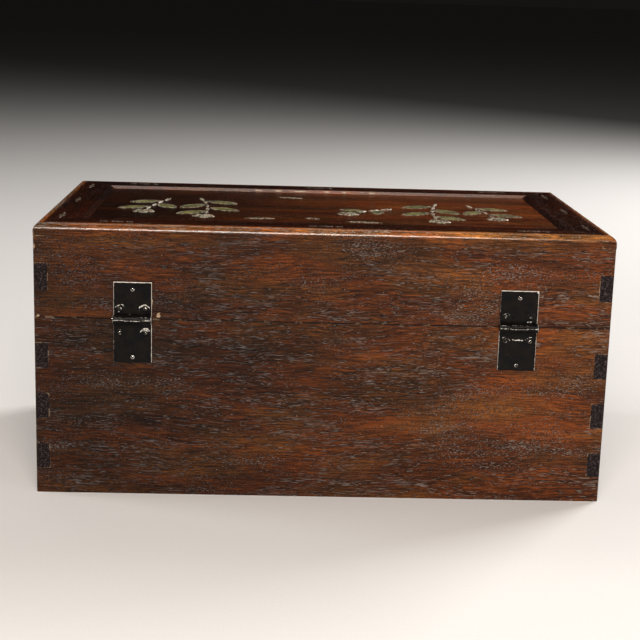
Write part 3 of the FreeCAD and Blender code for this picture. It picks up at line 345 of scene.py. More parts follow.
def frame_sheen_and_shade(f, colour, grain):
    """The lid's frame: painted shade darkens its flat, and a painted sheen, partly rubbed wear, pales its
    rounded edge.

    The rails' bevels beside the panel get the same painted sheen. Those of the stiles stay dark."""
    x, y, _ = f.split(f.place())
    up = f.split(f.facing())[2]
    from_side = f.math("SUBTRACT", SIDE_FACE, f.math("ABSOLUTE", x))
    from_back = f.math("SUBTRACT", BACK_FACE, f.math("ABSOLUTE", y))
    rim = f.step(f.math("MINIMUM", from_side, from_back), FRAME_EDGE, 0.5 * FRAME_EDGE)
    sloping = rim
    if grain == "X":
        inner = f.step(f.math("ABSOLUTE", y), BEVEL_INNER + 3.7 * MM, BEVEL_INNER + 3.2 * MM)
        sloping = f.math("MAXIMUM", rim, inner)
    flat = f.math("SUBTRACT", 1.0, sloping)
    rounded = f.math("MULTIPLY", sloping, f.step(up, 0.12, 0.45))
    sheen_patches = f.cloud(f.stretch(f.place(), (45, 90, 90)), 3.0, 0.6)
    rounded = f.math("MULTIPLY", rounded, f.step(sheen_patches, 0.30, 0.55, 0.55, 1.0))
    # painted shade on the flat, then a painted sheen, partly rubbed wear, on the round edge and the rails'
    # bevels
    colour = f.blend(flat, colour, FLAT_PAINTED_SHADE, "MULTIPLY")
    colour = f.blend(rounded, colour, SHEEN_AND_RUB_TINT, "MULTIPLY")
    rim = f.math("MULTIPLY", rim, f.step(up, 0.12, 0.45))
    return f.blend(rim, colour, EDGE_SHEEN_TINT, "MULTIPLY")


print("the flat starts", FRAME_EDGE, "in from the box's sides")

# %% [markdown]
# ## One finish for every board
# A board's face is built in two steps. First comes the figure: drifts, patches and fine streaks.
# Then come the pores, long on plain wood and short where the grain curls, some dark and some dusty.
# Each board gets its own seed, so that no two boards carry the same grain.

# %% Figure and pores
def figure_colour(f, board, streak, warmth):
    """The colour of the wood between its pores."""
    drift = f.cloud(f.stretch(board, (9, 60, 60)), 5.0, 0.62)
    patch = f.cloud(f.stretch(board, (10, 26, 26)), 2.0)
    tone = f.math("ADD", f.math("MULTIPLY", drift, 0.70), f.math("MULTIPLY", patch, 0.30))
    tone = f.math("ADD", tone, f.math("MULTIPLY", f.math("SUBTRACT", streak, 0.5), 1.05))
    stops = [(0.28, WOOD_DARK), (0.46, WOOD_MID), (0.58, WOOD_WARM), (0.76, WOOD_BRIGHT)]
    colour = f.colours(tone, [(at, [channel * warmth for channel in shade]) for at, shade in stops])
    figure = f.cloud(f.stretch(board, (15, 42, 42), (0.4, 0.1, 0.7)), 2.0, 0.55)
    hue = f.blend(f.step(figure, 0.42, 0.60), RED_FIGURE, GOLD_FIGURE)
    return f.blend(1.0, colour, hue, "MULTIPLY")


def pores(f, board, dust):
    """(1 in a dark pore, 1 in a pore that dust has filled)."""
    long_pore = f.cloud(f.stretch(board, (110, 2600, 2600)), 1.0, 0.6)
    short_pore = f.cloud(f.stretch(board, (520, 2300, 2300)), 1.0, 0.6)
    curly = f.step(f.cloud(f.stretch(board, (11, 30, 30), (0.5, 0.2, 0.1)), 1.0), 0.48, 0.56)
    shorter = f.math("MULTIPLY", f.math("SUBTRACT", short_pore, long_pore), curly)
    crowd = f.cloud(f.stretch(board, (20, 105, 105)), 2.0, 0.6)
    lean = f.math("MULTIPLY", f.math("SUBTRACT", crowd, 0.5), 0.40)
    level = f.math("ADD", f.math("ADD", long_pore, shorter), lean)
    dusty = f.step(level, 0.615, 0.675, 0.0, 0.88 * dust)
    dark = f.math("MULTIPLY", f.step(level, 0.49, 0.58), f.step(level, 0.67, 0.60, 0.0, 0.88))
    return dark, dusty


print("the pores are about", 1 / 110, "long on plain wood and", 1 / 520, "where it curls")

# %% [markdown]
# The finish then joins the parts: face or end grain, wear, grime, gloss and relief.
# Wax shines only on the frame's round edge and bevels, as a clear coat with a slightly uneven skin.
# That coat is what draws the long glint on the edge. The lid's flats are only a little smoother.

# %% The whole board
def hardwood(name, grain, seed, warmth=1.0, dust=1.0, knocks=(), framed=False):
    """A waxed hardwood board with its grain along X or Y. framed is for the lid's frame."""
    f = Finish(name)
    panel = name.endswith("top_panel")
    on_lid_top = framed or panel
    board = wandering_grain(f, grain, seed)
    streak = f.cloud(f.stretch(board, (46, 1150, 1150)), 3.0, 0.70)
    face = figure_colour(f, board, streak, warmth)
    dark, dusty = pores(f, board, dust)
    face = f.blend(dark, face, PORE_SHADE)
    face = f.blend(dusty, face, DUST)

    # painted shade and light: every board along X is painted darker towards +X and lighter towards -X, where
    # the key light stands
    if grain == "X":
        shade_along_x = f.step(f.split(f.place())[0], 0.95 * SIDE_FACE, -0.95 * SIDE_FACE)
        face = f.blend(1.0, face, f.blend(shade_along_x, SHADED_END_TINT, LIT_END_TINT), "MULTIPLY")
    along = f.split(f.facing())[0 if grain == "X" else 1]
    is_end = f.step(f.math("ABSOLUTE", along), 0.72, 0.86)
    speck = f.cloud(f.stretch(board, (300, 620, 760)), 4.0, 0.75)
    colour = f.blend(is_end, face, f.colours(speck, [(0.50, END_GRAIN), (0.70, END_SPECK)]))

    worn = f.math("MULTIPLY", f.math("MAXIMUM", worn_arrises(f), glue_lines(f)), 0.36)
    if knocks:
        worn = f.math("MAXIMUM", worn, dings(f, knocks))
    if framed:
        colour = frame_sheen_and_shade(f, colour, grain)
    # painted light and shade: the panel is painted darker towards +X and lighter towards -X, standing in for
    # how the light falls across it
    if panel:
        panel_light_share = f.step(f.split(f.place())[0], 0.8 * SIDE_FACE, -0.5 * SIDE_FACE)
        colour = f.blend(1.0, colour, f.blend(panel_light_share, PANEL_SHADED, PANEL_LIT_TINT), "MULTIPLY")
    colour = f.blend(joint_grime(f), colour, PORE_SHADE)
    colour = f.blend(worn, colour, RAW_WOOD)

    gloss = f.math("ADD", f.math("MULTIPLY", streak, 0.16), f.math("MULTIPLY", dusty, 0.45))
    polish, wax = 0.0, 0.0
    if on_lid_top:
        out_of_level = f.step(f.split(f.facing())[2], 0.99, 0.96)
        upward = f.step(f.split(f.facing())[2], 0.06, 0.30)
        wax = f.math("MULTIPLY", f.math("MULTIPLY", out_of_level, upward), 0.85)
        polish = f.math("MULTIPLY", upward, 0.20)
    roughness = f.math("SUBTRACT", f.math("ADD", gloss, 0.34), polish)
    height = f.math("SUBTRACT", f.math("MULTIPLY", streak, 0.35), f.math("MULTIPLY", dusty, 0.9))
    height = f.math("SUBTRACT", height, f.math("MULTIPLY", dark, 0.5))
    normal = f.relief(height, 0.025 * MM if on_lid_top else 0.16 * MM, 0.8)
    swell = f.cloud(f.stretch(board, (70, 260, 260)), 4.0, 0.7)
    skin = f.relief(f.math("ADD", swell, f.math("MULTIPLY", streak, 0.25)), 0.16 * MM, 0.8)
    return f.finish(
        Base_Color=colour, Roughness=roughness, Normal=normal,
        Specular_IOR_Level=0.12, Coat_Weight=wax, Coat_Roughness=0.21, Coat_Normal=skin,
    )


print("a board's finish has", len(hardwood("trial_board", "X", 0).node_tree.nodes), "nodes")
bpy.data.materials.remove(bpy.data.materials["trial_board"])

# %% [markdown]
# ## Softening the boards' edges
# A hand plane always takes the sharpness off an edge, and that thin facet is what catches the light.
# The edge could be modelled on every board, or a bevel can be laid over the solid as a modifier.
# The modifier leaves the solid as it is, which matters here: its true size must not change.
# Solids arrive with their faces apart, so a weld comes first, or the bevel would find no shared edge.

# %% A bevel laid over a solid
def soften(node_name, width, segments=2, angle=35):
    """Welds, bevels and re-shades one solid without touching its own mesh."""
    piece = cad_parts[node_name]
    weld = piece.modifiers.new("weld", "WELD")
    weld.merge_threshold = 0.001 * MM
    bevel = piece.modifiers.new("eased_edge", "BEVEL")
    bevel.width = width
    bevel.segments = segments
    bevel.limit_method = "ANGLE"
    bevel.angle_limit = math.radians(angle)
    bevel.use_clamp_overlap = True
    shade = piece.modifiers.new("even_light", "WEIGHTED_NORMAL")
    shade.keep_sharp = False
    return piece


def dress(node_name, material):
    """Gives a solid its finish."""
    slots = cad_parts[node_name].data.materials
    slots.clear()
    slots.append(material)


# each knock is (x, y, z, half width, half height), in millimetres
BACK_KNOCKS = [
    (110.6, 107, 128.5, 1.7, 3.6),
    (106.0, 107, 120.2, 2.0, 2.8),
    (184.5, 107, 162.6, 1.1, 2.2),
    (182.4, 107, 118.3, 1.5, 1.0),
    (-176.4, 107, 143.5, 0.9, 9.0),
]
BEVEL_MIDDLE = -BEVEL_INNER / MM - 1.8
BEVEL_HEIGHT = BOX_TOP / MM - 1.0
# worn patches along one bevel of the frame, each as (x, half width, half height)
BEVEL_PATCHES = [
    (46, 3.5, 1.2), (31, 5.0, 1.3), (14, 8.0, 1.2),
    (-6, 4.0, 1.1), (-19, 2.5, 1.2), (-40, 4.5, 1.0),
]
KNOCKS = {
    "body_back_board": BACK_KNOCKS,
    "lid_back_wall": BACK_KNOCKS,
    "top_rail_front": [(x, BEVEL_MIDDLE, BEVEL_HEIGHT, wide, high) for x, wide, high in BEVEL_PATCHES],
}
# each board is (direction of its grain, seed, warmth, share of dust)
boards = {
    "body_back_board": ("X", 1, 1.0, 1.0),
    "body_front_board": ("X", 2, 1.0, 1.0),
    "body_left_side": ("Y", 3, 0.9, 0.9),
    "body_right_side": ("Y", 4, 0.9, 0.9),
    "lid_back_wall": ("X", 5, 1.15, 0.9),
    "lid_front_wall": ("X", 6, 1.1, 0.9),
    "lid_left_wall": ("Y", 7, 1.0, 0.9),
    "lid_right_wall": ("Y", 8, 1.0, 0.9),
    "top_rail_back": ("X", 5, 1.2, 0.7),
    "top_rail_front": ("X", 6, 1.1, 0.7),
    "top_stile_left": ("Y", 7, 1.0, 0.6),
    "top_stile_right": ("Y", 8, 1.0, 0.6),
    "top_panel": ("X", 13, 0.75, 0.10),
    "drawer_left_front": ("X", 14, 1.05, 1.0),
    "drawer_right_front": ("X", 15, 1.05, 1.0),
}
for name, (grain, seed, warmth, dust) in boards.items():
    framed = name.startswith(("top_rail", "top_stile"))
    dress(name, hardwood("hardwood_" + name, grain, seed, warmth, dust, KNOCKS.get(name, ()), framed))
    soften(name, 0.45 * MM, angle=20 if framed else 35)
print("hardwood boards:", len(boards))

# %% [markdown]
# ## The inner wood
# The drawers' linings, the floors and the dividers are a pale, plain softwood that never saw daylight.
# It needs only faint straight grain, and a dry surface with no wax.

# %% Pale wood for the inside
PALE_SHADES = [(0.34, (0.20, 0.105, 0.052)), (0.52, (0.34, 0.20, 0.105)), (0.7, (0.44, 0.285, 0.16))]


def inner_wood(name, grain, seed):
    """Dry softwood with straight, faint grain."""
    f = Finish(name)
    board = wandering_grain(f, grain, seed)
    band = f.cloud(f.stretch(board, (3, 120, 120)), 3.0, 0.6)
    fibre = f.cloud(f.stretch(board, (60, 1400, 1400)), 2.0)
    tone = f.math("ADD", f.math("MULTIPLY", band, 0.75), f.math("MULTIPLY", fibre, 0.25))
    colour = f.colours(tone, PALE_SHADES)
    roughness = f.math("ADD", f.math("MULTIPLY", fibre, 0.2), 0.55)
    normal = f.relief(tone, 0.12 * MM, 0.6)
    return f.finish(Base_Color=colour, Roughness=roughness, Normal=normal, Specular_IOR_Level=0.3)


long_inner = [
    "bottom_board", "well_floor", "well_divider_long", "drawer_left_back", "drawer_right_back",
    "drawer_left_bottom", "drawer_right_bottom",
]
deep_inner = [
    "drawer_partition", "drawer_guide_left", "drawer_guide_right", "well_divider_cross",
    "drawer_left_left_side", "drawer_left_right_side", "drawer_right_left_side", "drawer_right_right_side",
]
for number, name in enumerate(long_inner + deep_inner):
    grain = "X" if name in long_inner else "Y"
    dress(name, inner_wood("inner_wood_" + name, grain, 20 + number))
    soften(name, 0.35 * MM)
print("inner boards:", len(long_inner) + len(deep_inner))

# %% [markdown]
# ## Black iron
# The hinges and clasp are thin iron, blackened by lacquer baked on, with bright metal where hands rub.
# The rubbed places could be painted by a guess at every edge.
# Here each point of a mesh carries a number called wear, set by the code that shapes the metal,
# and the finish reads it: the lacquer gives way to cream and silver where the number is high. On the hinge
# leaves the number also holds painted highlights on the knuckles' crests, the rims and the dents' lips.

# %% Iron with a wear number
LACQUER = (0.0025, 0.0025, 0.0030)
LACQUER_BROWN = (0.0090, 0.0065, 0.0045)
BARE_IRON = (0.62, 0.575, 0.48)
BARE_SHINE = (0.80, 0.78, 0.74)
IRON_GRIT = (0.16, 0.15, 0.14, 1)


def black_iron(name, extra_wear=None):
    """Lacquered iron. extra_wear may be a function that adds a second wear number."""
    f = Finish(name)
    wear = f.add("ShaderNodeAttribute", {}, "Fac", attribute_name="wear")
    if extra_wear:
        wear = f.math("MAXIMUM", wear, extra_wear(f))
    smudge = f.cloud(f.stretch(f.place(), (160, 160, 160)), 4.0, 0.6)
    speck = f.cloud(f.stretch(f.place(), (1300, 1300, 1300)), 2.0, 0.6)
    broken = f.cloud(f.stretch(f.place(), (520, 520, 520)), 3.0, 0.65)
    lacquer = f.colours(smudge, [(0.42, LACQUER), (0.72, LACQUER_BROWN)])
    grit = f.step(speck, 0.70, 0.76, 0.0, 0.35)
    lacquer = f.blend(grit, lacquer, IRON_GRIT)
    metal = f.colours(speck, [(0.35, BARE_IRON), (0.62, BARE_SHINE)])
    bare = f.step(f.math("ADD", wear, f.math("MULTIPLY", f.math("SUBTRACT", broken, 0.5), 0.9)), 0.42, 0.62)
    colour = f.blend(bare, lacquer, metal)
    roughness = f.math("ADD", f.math("MULTIPLY", smudge, 0.22), f.math("MULTIPLY", bare, 0.10))
    roughness = f.math("ADD", roughness, 0.20)
    metallic = f.math("MULTIPLY", bare, 0.55)
    dimple = f.cloud(f.stretch(f.place(), (300, 300, 300)), 3.0, 0.6)
    height = f.math("ADD", f.math("MULTIPLY", dimple, 0.8), f.math("MULTIPLY", speck, 0.12))
    normal = f.relief(height, 0.22 * MM, 0.55)
    return f.finish(
        Base_Color=colour, Roughness=roughness, Metallic=metallic, Normal=normal, Specular_IOR_Level=0.1,
    )


def round_rim_wear(centre_x, centre_z, radius):
    """A function that wears a round plate within half a millimetre of its rim."""
    def wear(f):
        x, _, z = f.split(f.place())
        across = f.math("SUBTRACT", x, centre_x)
        up = f.math("SUBTRACT", z, centre_z)
        reach = f.math("SQRT", f.math("ADD", f.math("MULTIPLY", across, across), f.math("MULTIPLY", up, up)))
        return f.step(reach, radius - 0.8 * MM, radius - 0.1 * MM, 0.0, 0.75)
    return wear


def eased_edge_wear(f):
    """Wears iron on its eased edges, which face neither straight out nor straight to a side."""
    out = f.math("ABSOLUTE", f.split(f.facing())[1])
    return f.math("MULTIPLY", f.step(out, 0.97, 0.90), f.step(out, 0.30, 0.45, 0.0, 0.75))


plain_iron = black_iron("black_iron")
CLASP_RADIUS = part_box("clasp_lid_plate")[1].x
clasp_iron = black_iron("black_iron_clasp", round_rim_wear(0, SEAM, CLASP_RADIUS))
for name in ("clasp_body_plate", "clasp_lid_plate"):
    dress(name, clasp_iron)
    soften(name, 0.2 * MM)
dress("clasp_tongue", black_iron("black_iron_tongue", eased_edge_wear))
soften("clasp_tongue", 0.25 * MM)
for side in ("left", "right"):
    low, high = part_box(f"drawer_{side}_pull_plate")
    middle = (low + high) / 2
    rim = round_rim_wear(middle.x, middle.z, (high.x - low.x) / 2)
    dress(f"drawer_{side}_pull_plate", black_iron(f"black_iron_pull_{side}", rim))
    for part in ("pull_eye", "ring"):
        dress(f"drawer_{side}_{part}", plain_iron)
    for part in ("pull_plate", "pull_eye", "ring"):
        soften(f"drawer_{side}_{part}", 0.12 * MM)
print("clasp radius", CLASP_RADIUS)

# %% [markdown]
# ## Nails and pins
# The leaves are held by steel nails with small domed heads that shine more than the iron round them.
# Their solids already have the dome, so the finish paints its light: a painted highlight ring on the dome's
# slope, painted shade at its middle and at its foot.

# %% Steel with a painted glint
STEEL_SHADED = (0.10, 0.095, 0.090, 1)
STEEL_PAINTED_GLINT = (0.60, 0.58, 0.54, 1)
STEEL_GRIME = (0.022, 0.020, 0.018, 1)


def nail_steel(name):
    """Steel with a painted highlight ring on each domed head and painted shade round it, and dark grime in
    patches.
    """
    f = Finish(name)
    grime = f.cloud(f.stretch(f.place(), (520, 520, 520)), 3.0, 0.6)
    from_seam = f.math("ABSOLUTE", f.math("SUBTRACT", f.split(f.place())[2], SEAM))
    by_barrel = f.step(from_seam, 12 * MM, 10 * MM, 0.0, 0.10)
    share = f.step(f.math("ADD", grime, by_barrel), 0.50, 0.62)
    # a painted highlight ring on the slope of each domed head, with painted shade at its middle and its foot
    out = f.math("ABSOLUTE", f.split(f.facing())[1])
    ring = f.math("MULTIPLY", f.step(out, 0.97, 0.90), f.step(out, 0.35, 0.60))
    metal = f.blend(ring, STEEL_SHADED, STEEL_PAINTED_GLINT)
    colour = f.blend(share, metal, STEEL_GRIME)
    roughness = f.math("ADD", f.math("MULTIPLY", share, 0.25), 0.14)
    normal = f.relief(grime, 0.15 * MM, 0.7)
    return f.finish(Base_Color=colour, Roughness=roughness, Normal=normal, Metallic=0.9)


steel = nail_steel("nail_steel")
steel_nodes = [
    "hinge_body_nails", "hinge_lid_nails", "hinge_left_pin", "hinge_right_pin",
    "clasp_body_nails", "clasp_lid_nails", "clasp_pin",
]
for name in steel_nodes:
    dress(name, steel)
    soften(name, 0.08 * MM)
print("steel solids:", len(steel_nodes))

# %% [markdown]
# ## The hinge leaves
# Each leaf is a strip of sheet iron whose end is rolled round the pin into knuckles.
# It could be a box with a cylinder stuck on, but rolled metal shows one flowing surface and a crease
# where the roll comes back to the strip. So the leaf is drawn as a flat net of points, row by row,
# and each row is then laid along that path: down the strip, under the pin, round and back.
# Hammer blows beside the nails leave dents with raised lips. Each lip sits on its dent's upper side and is
# painted bright, as worn lacquer and partly a painted highlight.
# The net is pushed in and out by those blows, and each point's wear, with its painted highlights, is written
# down as it goes.

# %% The path of the rolled sheet
SHEET = 1.0 * MM
PIN_OUT = 3.2 * MM
ROLL = 2.5 * MM
NOTCH = 2.15 * MM
KNUCKLE_HALF = 5.15 * MM
KNUCKLE_GAP = 0.12 * MM
ROLL_TURN_DEG = 308
ROLL_STEPS = 32
STRIP_OUT = 0.5 * MM
STRIP_RISE = 0.2 * MM
RISE_OVER = 2 * MM
RIM_LINES = (0.0, 0.2 * MM, 0.5 * MM)
PLAIN_FROM = 0.9 * MM
ROW_STEP = 0.42 * MM
HINGE_X = {side: (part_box(f"hinge_{side}_lid_leaf")[0].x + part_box(f"hinge_{side}_lid_leaf")[1].x) / 2
           for side in ("left", "right")}
LEAF_HALF = (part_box("hinge_left_lid_leaf")[1].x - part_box("hinge_left_lid_leaf")[0].x) / 2
LEAF_REACH = {"lid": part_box("hinge_left_lid_leaf")[1].z - SEAM,
              "body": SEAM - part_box("hinge_left_body_leaf")[0].z}


def rolled_row(step_along):
    """(height from the pin, way out of the wood) of the sheet's middle, and the same of its normal.

    The strip's middle is STRIP_OUT from the wood, and rises a little more close to the pin."""
    if step_along <= 0:
        height = -step_along
        near_pin = 1 - min(1, height / RISE_OVER)
        return (height, STRIP_OUT + STRIP_RISE * near_pin), (0, 1)
    turn = math.radians(180 + ROLL_TURN_DEG * step_along)
    return (ROLL * math.sin(turn), PIN_OUT + ROLL * math.cos(turn)), (math.sin(turn), math.cos(turn))


def leaf_rows(reach):
    """The rows of the net: the strip in negative heights, then the roll in shares of its turn."""
    rows = [-reach + inset for inset in RIM_LINES]
    plain_length = reach - PLAIN_FROM - NOTCH
    plain = int(plain_length / ROW_STEP)
    rows += [-reach + PLAIN_FROM + plain_length * i / plain for i in range(plain)]
    rows += [-NOTCH * (1 - i / 8) for i in range(8)]
    rows += [0.0] + [(i + 1) / ROLL_STEPS for i in range(ROLL_STEPS)]
    return rows


def leaf_columns():
    """The columns of the net, closer together at the rims and split at the knuckles."""
    outer = [LEAF_HALF - inset for inset in RIM_LINES]
    first, last = LEAF_HALF - PLAIN_FROM, KNUCKLE_HALF + KNUCKLE_GAP
    outer += [first + (last - first) * i / 15 for i in range(16)]
    inner_half = KNUCKLE_HALF - KNUCKLE_GAP
    inner = [-inner_half + 2 * inner_half * i / 26 for i in range(27)]
    return [-u for u in outer] + inner + outer[::-1]


print("rows on the lid leaf:", len(leaf_rows(LEAF_REACH["lid"])), "columns:", len(leaf_columns()))

# %% [markdown]
# The blows are given per leaf. Each is a dent round a nail with a lip on one side of it.
# Two leaves also have a long scuffed ridge, left by the edge of a hammer.
# Giving every leaf its own list keeps the four from looking like copies.

# %% Dents, lips and ridges
# (nail across, nail height, dent radius, lip strength, lip side: 1 towards the far end, -1 towards the pin)
BLOWS = {
    ("right", "lid"): [(8, 6.6, 2.6, 0.70, 1), (-7.4, 5.6, 3.5, 0.85, 1)],
    ("right", "body"): [(8, 9.0, 2.2, 0.40, -1), (-8, 9.0, 2.6, 1.0, -1), (-8.4, 8.4, 1.4, 0.8, -1)],
    ("left", "lid"): [(8, 6.8, 2.2, 0.45, 1), (-8, 6.8, 2.4, 0.4, 1)],
    ("left", "body"): [(8, 9.0, 2.2, 0.5, -1), (-8, 9.0, 2.2, 0.5, -1)],
}
# (from across, to across, height, wiggle, strength)
RIDGES = {
    ("right", "lid"): [
        (-10.5, 10.5, 3.4, 0.6, 0.40),
        (-1.0, 4.5, 7.4, 1.2, 0.50),
        (6.5, 11.0, 4.6, 1.6, 0.6),
    ],
    ("left", "body"): [(-6.5, 6.5, 8.3, 0.5, 0.85)],
    ("left", "lid"): [(-9.5, -4.0, 3.6, 0.3, 0.9)],
}
# how bright the far rim, the rim at +X and the rim at -X are painted: worn metal, and a painted highlight on
# rims that face the light
RIM_WEAR_AND_GLINT = {
    ("right", "lid"): (1.0, 0.75, 0.8),
    ("right", "body"): (0.25, 0.55, 0.75),
    ("left", "lid"): (1.0, 0.5, 0.85),
    ("left", "body"): (0.2, 0.7, 0.7),
}
# a worn corner at the far end: (which side, 1 for +X and -1 for -X, and its size in millimetres)
CORNER_WEAR = {("left", "lid"): (-1, 1.5)}
# how far the metal moves under a full blow, in millimetres
DENT_DEPTH = 0.28
LIP_HEIGHT = 0.24
RIDGE_HEIGHT = 0.16
SHEET_BOW = 0.05


def struck(side, half, across, height):
    """(way out, wear) of the strip at a point, both from the blows near it. Lengths are in millimetres."""
    out = 0.0
    wear = 0.0
    for nail_across, nail_height, radius, strength, lip_side in BLOWS[side, half]:
        away = math.hypot(across - nail_across, height - nail_height)
        out -= DENT_DEPTH * strength * math.exp(-((away / radius) ** 2))
        uneven = 0.8 * noise.noise(Vector((across * 0.45, height * 0.45, nail_across + 2.3)))
        width = 0.36 + 0.22 * noise.noise(Vector((across * 0.9, height * 0.9, 4.4)))
        lip = math.exp(-(((away - 1.05 * radius - uneven) / width) ** 2))
        lip_turn = lip_side * (height - nail_height) / max(away, 0.1)
        lip *= max(0.0, min(1.0, 0.30 + lip_turn))
        wear_and_glint_patches = min(1.0, max(0.0, 0.95 + 0.9 * noise.noise(Vector((across * 1.1, height * 1.1, 8.8)))))
        out += LIP_HEIGHT * strength * lip
        # the lip's wear number holds worn lacquer and a painted highlight on the lip's upper side
        wear = max(wear, lip * strength * wear_and_glint_patches * 1.35)
    for start, end, level, wiggle, strength in RIDGES.get((side, half), []):
        middle = level + wiggle * noise.noise(Vector((across * 0.35, level, 3.1)))
        inside = min(1.0, max(0.0, (across - start) / 1.2), max(0.0, (end - across) / 1.2))
        ridge = inside * math.exp(-(((height - middle) / 0.38) ** 2))
        patchy = 0.6 + 0.8 * noise.noise(Vector((across * 0.9, level, 7.7)))
        out += RIDGE_HEIGHT * strength * ridge
        wear = max(wear, strength * ridge * patchy * 1.2)
    out += SHEET_BOW * noise.noise(Vector((across * 0.13, height * 0.13, 11.0 if side == "left" else 5.0)))
    return out, wear


def rim_wear_and_glint(side, half, across, from_far):
    """How bright the rims are painted at a point, as worn metal and partly a painted highlight, given the
    distance from the far rim, in millimetres.
    """
    far, plus, minus = RIM_WEAR_AND_GLINT[side, half]
    edge = LEAF_HALF / MM
    near_far = far * math.exp(-((from_far / 0.55) ** 2))
    near_plus = plus * math.exp(-(((edge - across) / 0.40) ** 2))
    near_minus = minus * math.exp(-(((edge + across) / 0.40) ** 2))
    corner = 0.0
    if (side, half) in CORNER_WEAR:
        corner_side, size = CORNER_WEAR[side, half]
        away = math.hypot(edge - corner_side * across, 0.8 * from_far)
        corner = math.exp(-((away / size) ** 2))
    return 0.95 * max(near_far, near_plus, near_minus, 1.4 * corner)


print("blows:", sum(len(b) for b in BLOWS.values()), "ridges:", sum(len(r) for r in RIDGES.values()))

# %% [markdown]
# With the path, the net and the blows in hand, a leaf is one loop over rows and columns.
# Cells where the other leaf's knuckle turns are left out, which cuts the notch.
# A solidify modifier then gives the sheet its millimetre, and a bevel eases its rims.

# %% Build the four leaves
def build_leaf(side, half):
    """One hinge leaf, rolled from sheet, riding with the lid or the body."""
    up = 1 if half == "lid" else -1
    reach = LEAF_REACH[half]
    rows, columns = leaf_rows(reach), leaf_columns()
    mesh = bmesh.new()
    wear_layer = mesh.verts.layers.float.new("wear")
    net = []
    for row in rows:
        (height, out), (normal_height, normal_out) = rolled_row(row)
        line = []
        for across in columns:
            push, wear = 0.0, 0.0
            if row <= 0:
                push, wear = struck(side, half, across / MM, height / MM)
                push *= min(1.0, height / NOTCH)
                wear = max(wear, rim_wear_and_glint(side, half, across / MM, (reach - height) / MM))
            else:
                # the knuckle's outermost line and a band on its upper side are painted bright: a painted
                # highlight along the barrel, partly worn metal too
                crest_glint_and_wear = math.exp(-(((row - 0.60) / 0.030) ** 2))
                above = (up * height - 1.7 * MM) / (0.28 * MM)
                upper_sheen_and_wear = 0.50 * math.exp(-(above ** 2)) if out > PIN_OUT else 0.0
                wear = max(0.62 * crest_glint_and_wear, upper_sheen_and_wear, rim_wear_and_glint(side, half, across / MM, 99) * 0.8)
            place_z = SEAM + up * (height + normal_height * push * MM)
            place_y = BACK_FACE + out + normal_out * push * MM
            vertex = mesh.verts.new((HINGE_X[side] + across, place_y, place_z))
            vertex[wear_layer] = min(1.0, wear)
            line.append(vertex)
        net.append(line)
    for r in range(len(rows) - 1):
        for c in range(len(columns) - 1):
            middle = abs(columns[c] + columns[c + 1]) / 2
            outer_knuckle = middle > KNUCKLE_HALF + KNUCKLE_GAP
            own = outer_knuckle if half == "lid" else middle < KNUCKLE_HALF - KNUCKLE_GAP
            if rows[r] >= -NOTCH - 0.001 * MM and not own:
                continue
            corners = [net[r][c], net[r][c + 1], net[r + 1][c + 1], net[r + 1][c]]
            mesh.faces.new(corners if up == 1 else corners[::-1])
    loose = [vertex for vertex in mesh.verts if not vertex.link_faces]
    bmesh.ops.delete(mesh, geom=loose, context="VERTS")
    for face in mesh.faces:
        face.smooth = True
    data = bpy.data.meshes.new(f"hinge_{side}_{half}_rolled")
    mesh.to_mesh(data)
    mesh.free()
    piece = bpy.data.objects.new(f"hinge_{side}_{half}_rolled", data)
    bpy.context.scene.collection.objects.link(piece)
    thick = piece.modifiers.new("sheet", "SOLIDIFY")
    thick.thickness = SHEET
    thick.offset = 0
    thick.use_even_offset = True
    eased = piece.modifiers.new("eased_rim", "BEVEL")
    eased.width = 0.18 * MM
    eased.segments = 2
    eased.limit_method = "ANGLE"
    eased.angle_limit = math.radians(50)
    data.materials.append(plain_iron)
    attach(piece, half)
    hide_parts(f"hinge_{side}_{half}_leaf")
    return piece


leaves = [build_leaf(side, half) for side in ("left", "right") for half in ("lid", "body")]
print("leaf points:", [len(leaf.data.vertices) for leaf in leaves])

# %% [markdown]
# ## Soapstone and pearl
# The lid's sprays are leaves of green soapstone edged with slips of mother-of-pearl.
# Soapstone is soft and waxy with paler veins, and pearl shifts between pink, green and silver.
# Both are let into the wood and stand a fraction of a millimetre above it.
# One finish serves each stone, since all the pieces of a spray are sawn from one slab.

# %% Inlay finishes
SOAPSTONE_GREENS = [
    (0.36, (0.030, 0.034, 0.008)), (0.5, (0.085, 0.088, 0.018)), (0.66, (0.190, 0.175, 0.045)),
]
SOAPSTONE_VEIN = (0.36, 0.31, 0.13, 1)
PEARL_SHEENS = [(0.34, (0.42, 0.31, 0.25)), (0.5, (0.46, 0.41, 0.31)), (0.64, (0.27, 0.32, 0.22))]
PEARL_GRIME = (0.050, 0.028, 0.016, 1)


def soapstone(name):
    """Olive soapstone, clouded and veined."""
    f = Finish(name)
    body = f.cloud(f.stretch(f.place(), (90, 90, 90)), 4.0, 0.6)
    vein = f.cloud(f.stretch(f.place(), (260, 420, 260)), 3.0, 0.7)
    colour = f.colours(body, SOAPSTONE_GREENS)
    pale = f.step(vein, 0.60, 0.68, 0.0, 0.5)
    colour = f.blend(pale, colour, SOAPSTONE_VEIN)
    roughness = f.math("ADD", f.math("MULTIPLY", vein, 0.25), 0.30)
    normal = f.relief(vein, 0.15 * MM, 0.6)
    return f.finish(Base_Color=colour, Roughness=roughness, Normal=normal, Specular_IOR_Level=0.5)


